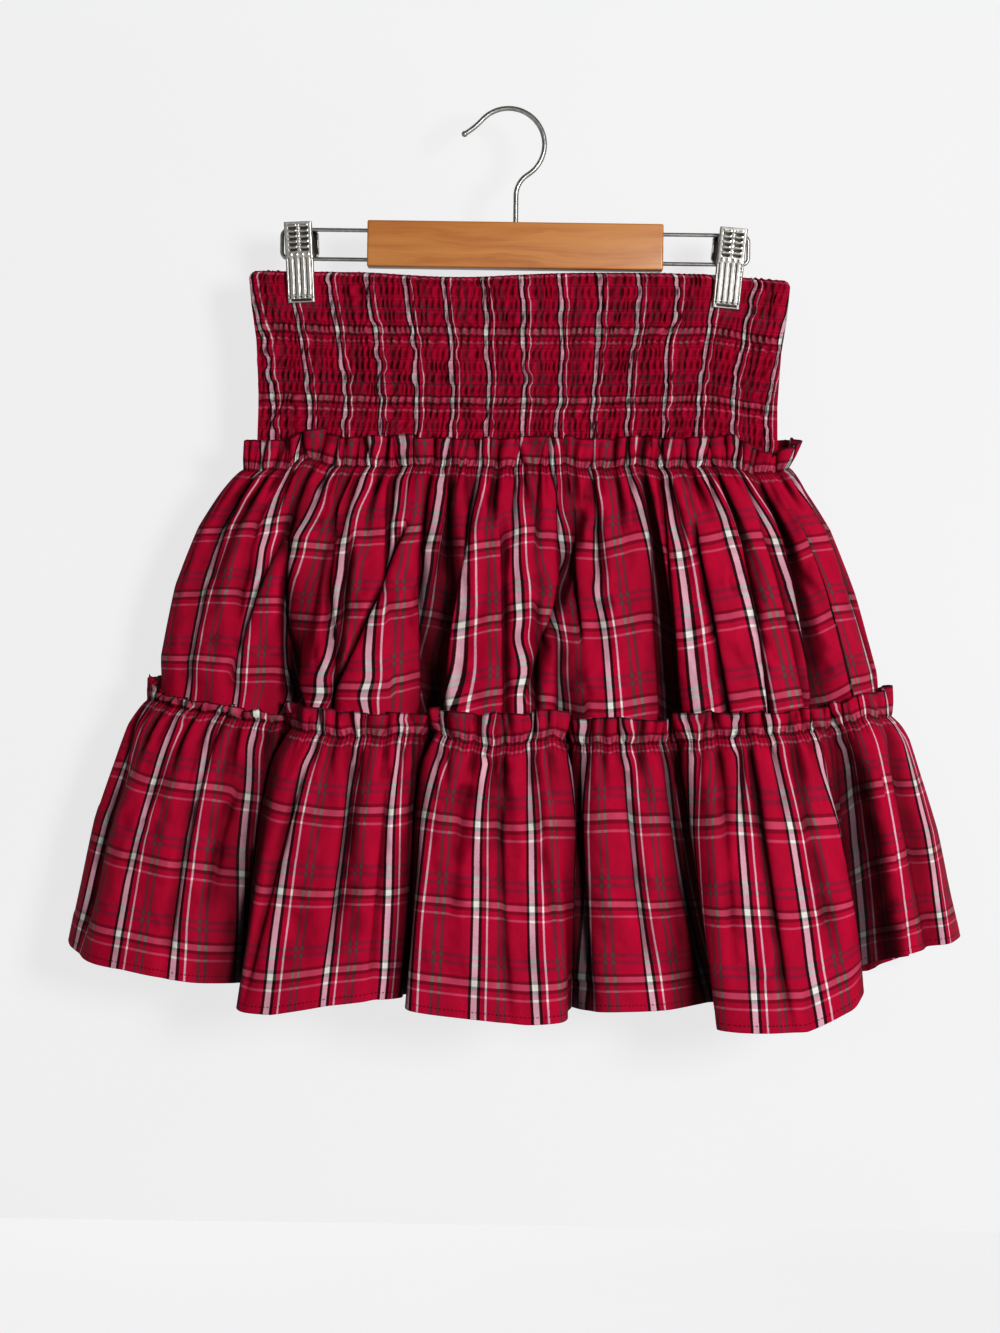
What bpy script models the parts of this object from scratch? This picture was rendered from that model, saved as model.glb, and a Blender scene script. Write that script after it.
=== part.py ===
"""A tiered skort, held by its waistband in the clips of a wooden hanger.

Lengths are in millimetres in the tables and turned into metres where meshes are made. The origin is
the inner top of the hook, where a nail or a rail carries the hanger. +Z is up and the front faces -Y.
"""

import math

import bmesh
import bpy
from mathutils import Matrix, Vector

MM = 0.001
SEAM_GAP = 0.3
SMOOTH_ANGLE = 40.0

# Hanger: the hook stands a little to the left of the bar's middle.
HANGER_X = 5.3
HOOK_WIRE = 3.3
HOOK_RADIUS = 23.4
HOOK_OPEN_ANGLE = 138.0
HOOK_TIP_RUN = 14.5
HOOK_FLARE = 1.5
HOOK_STEPS = 18
NECK_STEPS = 6
TIP_BALL = 0.62
SHANK_X = 5.3
SHANK_TOP_Z = -55.0
SHANK_IN_BAR = 16.0
BAR_HALF_LENGTH = 96.0
BAR_TOP_Z = -73.0
BAR_HEIGHT = 30.0
BAR_THICKNESS = 12.0
BAR_EDGE = 1.2
HOLE_OVERCUT = 1.0
WIRE = 2.6
WIRE_TOP_Z = -79.0
WIRE_LOW_Z = -98.0
WIRE_REACH = 152.8
WIRE_CORNER = 4.5
WIRE_IN_BAR = 9.0
WIRE_CORNER_STEPS = 5

# Clips: a folded steel jaw each side of a sprung pivot.
CLIP_X = 140.2
CLIP_WIDTH = 18.0
CLIP_STEEL = 1.0
CLIP_PIVOT_Z = -88.6
CLIP_LEAN = {"left": 3.0, "right": -4.6}
CLIP_FOLD = 1.2
PIN_RADIUS = 1.2
SPRING_RADIUS = 3.6
SPRING_HALF = 4.6
SPRING_STEPS = 14

# Rows of a clip's jaw: z, how far its face stands off the middle, and where its sides end.
# A negative end is past the middle, at the ears that hold the pivot.
JAW_ROWS = (
    (-72.3, 11.4, 8.8),
    (-77.5, 10.4, 5.0),
    (-83.0, 9.4, 2.4),
    (-85.4, 8.9, -2.4),
    (-91.8, 7.7, -2.4),
    (-94.2, 7.2, 2.2),
    (-104.0, 5.9, 2.1),
    (-122.5, 4.5, 2.1),
    (-127.0, 3.6, 2.1),
)

# Cloth.
GARMENT_X = 8.5
BAND_WALL = 1.6
TIER_WALL = 1.2
BAND_TOP_SAG = 3.0
BAND_DEPTH = 7.0
BAND_SQUARENESS = 4
NIP_REACH = (0.6, 2.4)
NIP_FADE = (-132.0, -185.0)
SAG_REACH = 0.75
BAND_STEPS = 6
WAIST_Z = -233.0
WAIST_SLOPE = 0.02
WAIST_HALF_WIDTH = 179.0
GATHER_LEFT = 237.0
GATHER_RIGHT = 243.0
WAIST_HALF_DEPTH = 10.0
HEADER_WAIST = 19.0
HEADER_LOWER = 21.0
SEAM_ALLOWANCE = 3.0
SPAN_STEPS = 3
SEAM_STRIP = 0.05

# The frill above a gathering line waves: how far out, how far up, and how often for each fold.
FRILL_SWAY = 0.8
FRILL_SWAY_TURN = 6.3
FRILL_LIFT = 1.5
FRILL_LIFT_TURN = 3.9

# Rows of the waistband's outline: height, then half of its width.
BAND_OUTLINE = (
    (-106.5, 176.0),
    (-128.0, 174.0),
    (-150.0, 170.5),
    (-185.0, 168.5),
    (-215.0, 169.0),
    (-237.0, 167.0),
)

# Rows of both tiers' folds, round the skirt from its left side. Each row is one crest or valley:
# name, then x, depth and z on the lower tier's gathering line, then x, depth and z at the hem.
# Depth is towards the front, and x is from the garment's middle.
FRONT_FOLDS = (
    ("side_left", -237.0, 0.0, -386.0, -287.0, 0.0, -541.0),
    ("left_turn", -233.5, 10.0, -387.0, -283.0, 13.0, -543.5),
    ("first_rise", -214.0, 24.0, -391.0, -262.0, 36.0, -553.0),
    ("first_crest", -172.0, 37.0, -397.0, -206.0, 47.0, -563.0),
    ("first_valley", -143.0, 29.0, -401.0, -163.0, 29.0, -567.0),
    ("second_rise", -131.0, 45.0, -404.0, -169.0, 57.0, -580.0),
    ("second_crest", -74.0, 50.0, -409.0, -89.0, 67.0, -579.0),
    ("second_valley", -50.0, 32.0, -412.0, -57.0, 32.0, -572.0),
    ("third_rise", -41.0, 52.0, -412.0, -61.0, 66.0, -577.0),
    ("third_crest", 21.0, 53.0, -413.0, 29.0, 74.0, -584.0),
    ("third_valley", 32.0, 35.0, -418.0, 33.0, 37.0, -578.0),
    ("fourth_rise", 51.0, 45.0, -424.0, 60.0, 51.0, -578.0),
    ("fourth_crest", 85.0, 44.0, -424.0, 98.0, 45.0, -577.0),
    ("fourth_valley", 101.0, 35.0, -422.0, 134.0, 29.0, -574.0),
    ("fifth_rise", 123.0, 50.0, -418.0, 136.0, 72.0, -586.0),
    ("fifth_crest", 183.0, 50.0, -414.0, 213.0, 70.0, -581.0),
    ("fifth_valley", 202.0, 33.0, -406.0, 217.0, 38.0, -557.0),
    ("seam_right", 221.0, 33.0, -400.0, 251.0, 43.0, -543.0),
)
BACK_FOLDS = (
    ("seam_right", 221.0, 33.0, -400.0, 251.0, 43.0, -543.0),
    ("last_crest", 233.0, 24.0, -396.0, 275.0, 34.0, -536.0),
    ("right_turn", 240.0, 12.0, -393.0, 288.0, 16.0, -532.0),
    ("side_right", 243.0, 2.0, -392.0, 291.0, 3.0, -531.0),
    ("right_turn_back", 239.5, -9.0, -393.0, 288.0, -11.0, -533.5),
    ("back_crest_1", 212.0, -23.0, -398.0, 254.0, -33.0, -552.0),
    ("back_valley_1", 182.0, -17.0, -404.0, 216.0, -22.0, -560.0),
    ("back_crest_2", 148.0, -31.0, -409.0, 176.0, -42.0, -570.0),
    ("back_valley_2", 116.0, -19.0, -413.0, 137.0, -24.0, -573.0),
    ("back_crest_3", 83.0, -33.0, -415.0, 98.0, -46.0, -577.0),
    ("back_valley_3", 46.0, -20.0, -416.0, 54.0, -25.0, -576.0),
    ("back_crest_4", 8.0, -33.0, -417.0, 12.0, -46.0, -579.0),
    ("back_valley_4", -30.0, -21.0, -416.0, -35.0, -26.0, -577.0),
    ("back_crest_5", -67.0, -33.0, -415.0, -80.0, -46.0, -578.0),
    ("back_valley_5", -104.0, -19.0, -411.0, -124.0, -24.0, -572.0),
    ("back_crest_6", -141.0, -30.0, -407.0, -167.0, -42.0, -568.0),
    ("back_valley_6", -178.0, -17.0, -400.0, -212.0, -22.0, -560.0),
    ("back_crest_7", -210.0, -22.0, -393.0, -251.0, -33.0, -551.0),
    ("left_turn_back", -233.5, -9.0, -387.0, -283.5, -12.0, -543.0),
    ("side_left", -237.0, 0.0, -386.0, -287.0, 0.0, -541.0),
)

# Rows of a tier, down from the top of its frill: the share of the way down the tier below its
# gathering line (or above it, of the frill's height, when negative), and how far the row puffs out.
TIER_ROWS = (
    (-1.0, 4.4),
    (-0.45, 2.2),
    (0.0, 0.0),
    (0.08, 2.6),
    (0.26, 2.4),
    (0.5, 1.2),
    (0.76, 0.4),
    (1.0, 0.0),
)
WAIST_EASE = 0.85
HEM_EASE = 0.75

# Inner shorts: rows of height, half width, half depth, the inner end's depth and its x.
SHORTS_ROWS = (
    (-237.3, 167.0, 7.0, 7.0, 0.15),
    (-275.0, 174.0, 8.0, 8.0, 0.15),
    (-330.0, 183.0, 9.0, 9.0, 0.15),
    (-375.0, 186.0, 9.5, 9.5, 0.15),
    (-395.0, 186.0, 9.5, 7.5, 0.15),
    (-408.0, 186.0, 9.5, 3.0, 0.6),
    (-416.0, 186.0, 9.5, 0.15, 1.6),
    (-448.0, 185.0, 10.0, 0.15, 5.0),
    (-482.0, 184.0, 10.5, 0.15, 9.0),
)
SHORTS_WALL = 1.0
SHORTS_COLUMNS = 20
SHORTS_SQUARENESS = 0.5
SHORTS_END_STEPS = 4
SHORTS_SIDE_STEPS = 32


def new_material(name, color, roughness, metallic=0.0):
    """A plain surface of one colour."""
    material = bpy.data.materials.new(name)
    material.use_nodes = True
    shader = material.node_tree.nodes["Principled BSDF"]
    shader.inputs["Base Color"].default_value = (*color, 1.0)
    shader.inputs["Roughness"].default_value = roughness
    shader.inputs["Metallic"].default_value = metallic
    return material


def add_mesh_object(name, mesh, material, collection):
    """An object for the mesh, shaded smooth, in the collection."""
    obj = bpy.data.objects.new(name, mesh)
    collection.objects.link(obj)
    mesh.materials.append(material)
    mesh.shade_smooth()
    mesh.set_sharp_from_angle(angle=math.radians(SMOOTH_ANGLE))
    return obj


def mesh_of(bm, name):
    """The bmesh as a new mesh."""
    mesh = bpy.data.meshes.new(name)
    bm.to_mesh(mesh)
    bm.free()
    return mesh


# ---- Shared shape maths -----------------------------------------------------------------------


def smooth_step(low, high, value):
    """0 below low, 1 above high, with a soft ramp between."""
    share = min(1.0, max(0.0, (value - low) / (high - low)))
    return share * share * (3.0 - 2.0 * share)


def read_table(rows, key, column):
    """Column of a table at a key, straight between rows sorted by falling first column."""
    for upper, lower in zip(rows, rows[1:]):
        if key >= lower[0]:
            share = (upper[0] - key) / (upper[0] - lower[0])
            share = min(1.0, max(0.0, share))
            return upper[column] + (lower[column] - upper[column]) * share
    return rows[-1][column]


def spline_point(points, position):
    """Catmull-Rom curve through a closed ring of points, at a position counted in points."""
    count = len(points)
    index = math.floor(position)
    share = position - index
    before, start, end, after = (points[(index + k) % count] for k in (-1, 0, 1, 2))
    square = share * share
    cube = square * share
    return 0.5 * (
        2.0 * start
        + (end - before) * share
        + (2.0 * before - 5.0 * start + 4.0 * end - after) * square
        + (3.0 * start - 3.0 * end + after - before) * cube
    )


def resample(points, count):
    """That many even steps along a polyline."""
    lengths = [0.0]
    for first, second in zip(points, points[1:]):
        lengths.append(lengths[-1] + (second - first).length)
    found = []
    span = 0
    for step in range(count + 1):
        target = lengths[-1] * step / count
        while span < len(points) - 2 and lengths[span + 1] < target:
            span += 1
        run = lengths[span + 1] - lengths[span]
        share = 0.0 if run == 0.0 else (target - lengths[span]) / run
        found.append(points[span].lerp(points[span + 1], min(1.0, share)))
    return found


def panel_from(name, columns, rows, place, wall, material, collection, even=False):
    """A grid moved to its places, then given its wall on the inner side."""
    bm = bmesh.new()
    bmesh.ops.create_grid(bm, x_segments=columns, y_segments=rows, size=1.0)
    for vertex in bm.verts:
        column = round((vertex.co.x + 1.0) / 2.0 * columns)
        row = round((1.0 - vertex.co.y) / 2.0 * rows)
        vertex.co = place(column, row) * MM
    obj = add_mesh_object(name, mesh_of(bm, name), material, collection)
    solidify = obj.modifiers.new("wall", "SOLIDIFY")
    solidify.thickness = wall * MM
    solidify.offset = -1.0
    solidify.use_even_offset = even
    return obj


# ---- Hanger -----------------------------------------------------------------------------------


def hook_route():
    """Points of the hook's wire, from its ball tip over the top and down the shank."""
    centre = Vector((0.0, HOOK_WIRE / 2.0 - HOOK_RADIUS))
    drop = SHANK_TOP_Z - centre.y
    second_radius = (HOOK_RADIUS**2 - SHANK_X**2 - drop**2) / (2.0 * (SHANK_X - HOOK_RADIUS))
    second_centre = Vector((SHANK_X + second_radius, SHANK_TOP_Z))
    leave = math.degrees(math.atan2(*(second_centre - centre).yx))
    points = []
    tip_angle = math.radians(HOOK_OPEN_ANGLE)
    arc_end = centre + HOOK_RADIUS * Vector((math.cos(tip_angle), math.sin(tip_angle)))
    tangent = Vector((-math.sin(tip_angle), math.cos(tip_angle)))
    for share in (1.0, 0.75, 0.5, 0.25):
        flare = Vector((-HOOK_FLARE * share * share, 0.0))
        points.append(arc_end + tangent * HOOK_TIP_RUN * share + flare)
    for step in range(HOOK_STEPS + 1):
        angle = math.radians(HOOK_OPEN_ANGLE + (leave - HOOK_OPEN_ANGLE) * step / HOOK_STEPS)
        points.append(centre + HOOK_RADIUS * Vector((math.cos(angle), math.sin(angle))))
    for step in range(1, NECK_STEPS + 1):
        angle = math.radians(180.0 + leave * (1.0 - step / NECK_STEPS))
        points.append(second_centre + second_radius * Vector((math.cos(angle), math.sin(angle))))
    points.append(Vector((SHANK_X, BAR_TOP_Z - SHANK_IN_BAR)))
    return [Vector((p.x, 0.0, p.y)) for p in points]


def wire_object(name, points, diameter, material, collection, resolution=3):
    """A round wire along the points, as a mesh with closed ends."""
    curve = bpy.data.curves.new(name, "CURVE")
    curve.dimensions = "3D"
    curve.bevel_depth = diameter / 2.0 * MM
    curve.bevel_resolution = resolution
    curve.use_fill_caps = True
    spline = curve.splines.new("POLY")
    spline.points.add(len(points) - 1)
    for point, place in zip(spline.points, points):
        point.co = (*(place * MM), 1.0)
    source = bpy.data.objects.new(name, curve)
    collection.objects.link(source)
    bpy.context.view_layer.update()
    graph = bpy.context.evaluated_depsgraph_get()
    mesh = bpy.data.meshes.new_from_object(source.evaluated_get(graph))
    bpy.data.objects.remove(source)
    bm = bmesh.new()
    bm.from_mesh(mesh)
    bmesh.ops.remove_doubles(bm, verts=bm.verts, dist=1e-6)
    bm.to_mesh(mesh)
    bm.free()
    mesh.name = name
    mesh.materials.clear()
    return add_mesh_object(name, mesh, material, collection)


def union_with(target, other):
    """Joins the other object into the target, and keeps it as a hidden tool."""
    joint = target.modifiers.new(other.name, "BOOLEAN")
    joint.operation = "UNION"
    joint.object = other


def cut_with(target, cutter):
    """Cuts the other object out of the target."""
    cut = target.modifiers.new(cutter.name, "BOOLEAN")
    cut.operation = "DIFFERENCE"
    cut.object = cutter


def add_tool(name, bm, tools):
    """A shape that only cuts or joins, kept out of the finished object."""
    obj = bpy.data.objects.new(name, mesh_of(bm, name))
    tools.objects.link(obj)
    obj.hide_render = True
    obj.display_type = "WIRE"
    return obj


def rod_tool(name, radius, length, matrix, tools, segments=16):
    """A round tool along its own Z."""
    bm = bmesh.new()
    bmesh.ops.create_cone(
        bm,
        cap_ends=True,
        segments=segments,
        radius1=radius * MM,
        radius2=radius * MM,
        depth=length * MM,
        matrix=matrix,
    )
    return add_tool(name, bm, tools)


def make_hook(steel, parts, tools):
    """The hook: a wire with a small ball on its tip."""
    route = hook_route()
    hook = wire_object("hanger_hook", route, HOOK_WIRE, steel, parts)
    bm = bmesh.new()
    bmesh.ops.create_uvsphere(
        bm,
        u_segments=16,
        v_segments=10,
        radius=HOOK_WIRE * TIP_BALL * MM,
        matrix=Matrix.Translation(route[0] * MM),
    )
    union_with(hook, add_tool("tip_ball", bm, tools))
    return hook


def make_bar(wood, parts, tools):
    """The wooden bar, drilled for the hook's shank and the four wire ends."""
    size = Vector((BAR_HALF_LENGTH * 2.0, BAR_THICKNESS, BAR_HEIGHT))
    bm = bmesh.new()
    bmesh.ops.create_cube(bm, size=MM)
    bmesh.ops.scale(bm, vec=size, verts=bm.verts)
    middle = Vector((HANGER_X, 0.0, BAR_TOP_Z - BAR_HEIGHT / 2.0))
    bmesh.ops.translate(bm, vec=middle * MM, verts=bm.verts)
    bar = add_mesh_object("hanger_bar", mesh_of(bm, "hanger_bar"), wood, parts)
    edge = bar.modifiers.new("edge", "BEVEL")
    edge.width = BAR_EDGE * MM
    edge.segments = 2
    depth = SHANK_IN_BAR + SEAM_GAP
    middle_z = BAR_TOP_Z - (depth - HOLE_OVERCUT) / 2.0
    place = Matrix.Translation(Vector((SHANK_X, 0.0, middle_z)) * MM)
    length = depth + HOLE_OVERCUT
    shank = rod_tool("shank_hole", HOOK_WIRE / 2.0 + SEAM_GAP, length, place, tools)
    cut_with(bar, shank)
    turn = Matrix.Rotation(math.pi / 2.0, 4, "Y")
    for side, sign in (("left", -1.0), ("right", 1.0)):
        for level, height in (("top", WIRE_TOP_Z), ("low", WIRE_LOW_Z)):
            reach = BAR_HALF_LENGTH - WIRE_IN_BAR / 2.0
            place = Matrix.Translation(Vector((HANGER_X + sign * reach, 0.0, height)) * MM) @ turn
            radius = WIRE / 2.0 + SEAM_GAP
            length = WIRE_IN_BAR + 2.0 * SEAM_GAP
            cut_with(bar, rod_tool(f"wire_hole_{side}_{level}", radius, length, place, tools))
    return bar


def make_wire_loop(side, sign, steel, parts):
    """A wire loop that leaves one end of the bar, turns outside the clip and comes back."""
    start = BAR_HALF_LENGTH - WIRE_IN_BAR + SEAM_GAP
    far = WIRE_REACH - WIRE / 2.0 - WIRE_CORNER
    points = [Vector((start, 0.0, WIRE_TOP_Z))]
    for centre_z, first_angle in ((WIRE_TOP_Z - WIRE_CORNER, 90.0), (WIRE_LOW_Z + WIRE_CORNER, 0.0)):
        for step in range(WIRE_CORNER_STEPS + 1):
            angle = math.radians(first_angle - 90.0 * step / WIRE_CORNER_STEPS)
            turn = Vector((math.cos(angle), 0.0, math.sin(angle)))
            points.append(Vector((far, 0.0, centre_z)) + turn * WIRE_CORNER)
    points.append(Vector((start, 0.0, WIRE_LOW_Z)))
    placed = [Vector((HANGER_X + sign * p.x, 0.0, p.z)) for p in points]
    return wire_object(f"wire_{side}", placed, WIRE, steel, parts, resolution=2)


def make_jaw(side, place, front, lean, centre_x, steel, parts):
    """One folded jaw: a face with a side each way, open towards the cloth."""
    sign = -1.0 if front else 1.0
    half = CLIP_WIDTH / 2.0 if front else CLIP_WIDTH / 2.0 - CLIP_STEEL - SEAM_GAP
    pivot = Vector((centre_x, 0.0, CLIP_PIVOT_Z))
    turn = Matrix.Rotation(math.radians(-lean), 3, "Y")

    def point(column, row):
        height, face, end = JAW_ROWS[row]
        across = (
            (-half, end),
            (-half, face - CLIP_FOLD),
            (-half + CLIP_FOLD, face),
            (half - CLIP_FOLD, face),
            (half, face - CLIP_FOLD),
            (half, end),
        )[column]
        if not front:
            across = (-across[0], across[1])
        local = Vector((centre_x + across[0], sign * across[1], height))
        return turn @ (local - pivot) + pivot

    name = f"clip_{side}_{place}"
    rows = len(JAW_ROWS) - 1
    return panel_from(name, 5, rows, point, CLIP_STEEL, steel, parts, even=True)


def make_spring(side, lean, centre_x, steel, parts):
    """The pivot pin with its coil spring, as one turned piece along X."""
    inner = CLIP_WIDTH / 2.0 - 2.0 * CLIP_STEEL - 2.0 * SEAM_GAP
    half_profile = (
        (0.0, inner),
        (PIN_RADIUS, inner),
        (PIN_RADIUS, SPRING_HALF),
        (SPRING_RADIUS, SPRING_HALF),
    )
    profile = half_profile + tuple((radius, -along) for radius, along in half_profile[::-1])
    bm = bmesh.new()
    ring = [bm.verts.new(Vector((radius, 0.0, along)) * MM) for radius, along in profile]
    for first, second in zip(ring, ring[1:]):
        bm.edges.new((first, second))
    name = f"clip_{side}_spring"
    spring = add_mesh_object(name, mesh_of(bm, name), steel, parts)
    screw = spring.modifiers.new("turn", "SCREW")
    screw.axis = "Z"
    screw.angle = math.tau
    screw.steps = SPRING_STEPS
    screw.render_steps = SPRING_STEPS
    screw.use_merge_vertices = True
    screw.merge_threshold = 0.0001
    spring.rotation_euler = (0.0, math.radians(90.0 - lean), 0.0)
    spring.location = Vector((centre_x, 0.0, CLIP_PIVOT_Z)) * MM
    return spring


# ---- Waistband --------------------------------------------------------------------------------


def band_half_depth(across, height):
    """How far the waistband's outer face bows from the middle: nipped flat in the clips."""
    width = read_table(BAND_OUTLINE, height, 1)
    bow = math.sqrt(max(0.0, 1.0 - abs(across / width) ** BAND_SQUARENESS))
    nip = 1.0
    for side, sign in (("left", -1.0), ("right", 1.0)):
        lean = math.tan(math.radians(CLIP_LEAN[side]))
        clip_x = HANGER_X + sign * CLIP_X - GARMENT_X + lean * (CLIP_PIVOT_Z - height)
        near, far = (CLIP_WIDTH * reach for reach in NIP_REACH)
        aside = smooth_step(near, far, abs(across - clip_x))
        below = smooth_step(*NIP_FADE, height)
        nip = min(nip, max(aside, below))
    flat = BAND_WALL + SEAM_GAP / 2.0
    return max(flat, BAND_DEPTH * bow * nip)


def band_columns():
    """The shares of the half width at which the waistband's columns stand."""
    clip = CLIP_X / BAND_OUTLINE[0][1]
    edge = CLIP_WIDTH * NIP_REACH[0] / BAND_OUTLINE[0][1]
    outer = [1.0, 0.95, clip + edge, clip, clip - edge]
    inner = [(clip - edge) * (1.0 - step / BAND_STEPS) for step in range(1, BAND_STEPS)]
    half = outer + inner
    return [-share for share in half] + [0.0] + half[::-1]


def make_band(place, front, cloth, parts):
    """One waistband panel."""
    shares = band_columns()
    sign = -1.0 if front else 1.0

    def point(column, row):
        height, width = BAND_OUTLINE[row]
        share = shares[column] if front else -shares[column]
        if row == 0:
            height -= BAND_TOP_SAG * (1.0 - smooth_step(0.0, SAG_REACH, abs(share)))
        if row == len(BAND_OUTLINE) - 1:
            height += WAIST_SLOPE * share * width
        across = share * width
        return Vector((GARMENT_X + across, sign * band_half_depth(across, height), height))

    name = f"waistband_{place}"
    rows = len(BAND_OUTLINE) - 1
    return panel_from(name, len(shares) - 1, rows, point, BAND_WALL, cloth, parts)


# ---- Tiers ------------------------------------------------------------------------------------


def fold_rings():
    """The ring of crests and valleys at the waist, at the lower gathering line and at the hem."""
    rows = FRONT_FOLDS[:-1] + BACK_FOLDS[:-1]
    gather = [Vector((row[1], -row[2], row[3])) for row in rows]
    hem = [Vector((row[4], -row[5], row[6])) for row in rows]
    return [on_waist(point) for point in gather], gather, hem


def on_waist(point):
    """The place on the waist's flat oval that a point of the gathering line comes down from."""
    x = point.x * WAIST_HALF_WIDTH / (GATHER_LEFT if point.x < 0.0 else GATHER_RIGHT)
    in_from_end = min(WAIST_HALF_DEPTH, max(0.0, WAIST_HALF_WIDTH - abs(x)))
    depth = math.sqrt(WAIST_HALF_DEPTH**2 - (WAIST_HALF_DEPTH - in_from_end) ** 2)
    return Vector((x, math.copysign(depth, point.y), WAIST_Z + WAIST_SLOPE * x))


def ring_between(start, end, share, ease):
    """Every crest and valley part of the way from one ring to the next."""
    eased = max(0.0, share) ** ease
    found = []
    for first, second in zip(start, end):
        level = first.lerp(second, eased)
        level.z = first.z + (second.z - first.z) * share
        found.append(level)
    return found


def outward(ring, position):
    """The level direction out of the ring at a position."""
    ahead = spline_point(ring, position + 0.02) - spline_point(ring, position - 0.02)
    return Vector((ahead.y, -ahead.x, 0.0)).normalized()


def make_tier(name, start, end, ease, header, inset, extra, span, cloth, parts):
    """One tier panel with its frill, between two rings of folds and two positions round them."""
    first, last = span
    positions = [first + step / SPAN_STEPS for step in range((last - first) * SPAN_STEPS + 1)]
    positions.insert(1, first + SEAM_STRIP)
    positions.insert(-1, last - SEAM_STRIP)
    columns = len(positions) - 1
    level = {}
    for row, (share, _) in enumerate(TIER_ROWS):
        level[row] = ring_between(start, end, max(0.0, share), ease)

    def point(column, row):
        share, puff = TIER_ROWS[row]
        position = positions[column]
        ring = level[row]
        place = spline_point(ring, position)
        aside = outward(ring, position)
        if share < 0.0:
            wave = math.sin(position * FRILL_SWAY_TURN) * FRILL_SWAY * -share
            place = place + aside * (puff + wave)
            lift = math.sin(position * FRILL_LIFT_TURN) * FRILL_LIFT * share
            place.z -= share * (header + lift)
        else:
            place = place + aside * puff
        if share == 1.0:
            place.z -= extra
        place = place - aside * inset
        along = Vector((-aside.y, aside.x, 0.0)) * SEAM_GAP / 2.0
        if column < 2:
            place += along
        if column > columns - 2:
            place -= along
        return Vector((GARMENT_X + place.x, place.y, place.z))

    return panel_from(name, columns, len(TIER_ROWS) - 1, point, TIER_WALL, cloth, parts)


# ---- Shorts -----------------------------------------------------------------------------------


def make_shorts(side, sign, cloth, parts):
    """One half of the inner shorts, open at its inseam and along the middle."""
    sections = []
    for height, width, depth, end, inner_x in SHORTS_ROWS:
        lip = [end + (depth - end) * step / SHORTS_END_STEPS for step in range(SHORTS_END_STEPS)]
        outline = [Vector((inner_x, -out)) for out in lip]
        for step in range(SHORTS_SIDE_STEPS + 1):
            angle = math.radians(-90.0 + 180.0 * step / SHORTS_SIDE_STEPS)
            across = inner_x + (width - inner_x) * abs(math.cos(angle)) ** SHORTS_SQUARENESS
            outline.append(Vector((across, depth * math.sin(angle))))
        outline += [Vector((inner_x, out)) for out in lip[::-1]]
        even = resample(outline, SHORTS_COLUMNS)
        sections.append([Vector((p.x, p.y, height)) for p in even])

    def point(column, row):
        place = sections[row][column if sign > 0.0 else SHORTS_COLUMNS - column]
        across = sign * place.x
        height = place.z + (WAIST_SLOPE * across if row == 0 else 0.0)
        return Vector((GARMENT_X + across, place.y, height))

    name = f"shorts_{side}"
    rows = len(SHORTS_ROWS) - 1
    return panel_from(name, SHORTS_COLUMNS, rows, point, SHORTS_WALL, cloth, parts)


# ---- The whole object -------------------------------------------------------------------------


def main():
    for obj in list(bpy.data.objects):
        bpy.data.objects.remove(obj)
    parts = bpy.data.collections.new("tiered_skort")
    tools = bpy.data.collections.new("tools")
    bpy.context.scene.collection.children.link(parts)
    bpy.context.scene.collection.children.link(tools)

    steel = new_material("polished_steel", (0.72, 0.71, 0.69), 0.22, 1.0)
    wood = new_material("orange_wood", (0.62, 0.31, 0.12), 0.42)
    plaid = new_material("red_plaid_cotton", (0.52, 0.02, 0.05), 0.7)
    lining = new_material("plain_red_knit", (0.4, 0.02, 0.04), 0.8)

    make_hook(steel, parts, tools)
    make_bar(wood, parts, tools)
    for side, sign in (("left", -1.0), ("right", 1.0)):
        centre_x = HANGER_X + sign * CLIP_X
        lean = CLIP_LEAN[side]
        make_wire_loop(side, sign, steel, parts)
        make_jaw(side, "front", True, lean, centre_x, steel, parts)
        make_jaw(side, "back", False, lean, centre_x, steel, parts)
        make_spring(side, lean, centre_x, steel, parts)
        make_shorts(side, sign, lining, parts)

    make_band("front", True, plaid, parts)
    make_band("back", False, plaid, parts)

    waist, gather, hem = fold_rings()
    front_end = len(FRONT_FOLDS) - 1
    inset = TIER_WALL + SEAM_GAP
    for place, span in (("front", (0, front_end)), ("back", (front_end, len(gather)))):
        make_tier(
            f"upper_tier_{place}", waist, gather, WAIST_EASE, HEADER_WAIST, inset,
            SEAM_ALLOWANCE, span, plaid, parts,
        )
        make_tier(
            f"lower_tier_{place}", gather, hem, HEM_EASE, HEADER_LOWER, 0.0,
            0.0, span, plaid, parts,
        )


main()
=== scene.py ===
"""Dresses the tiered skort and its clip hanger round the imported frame.

Tables are in millimetres, as the part's own are, and become metres where a mesh is made. The origin
is the inner top of the hook, +Z is up and the front faces -Y. A position round the skirt is counted
in folds of the ring, from its left side over the front and back again.
"""

import logging
import math
from collections.abc import Sequence
from dataclasses import dataclass, field
from enum import Enum, IntEnum

import bmesh
import bpy
import numpy as np
from mathutils import Matrix, Vector


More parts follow.
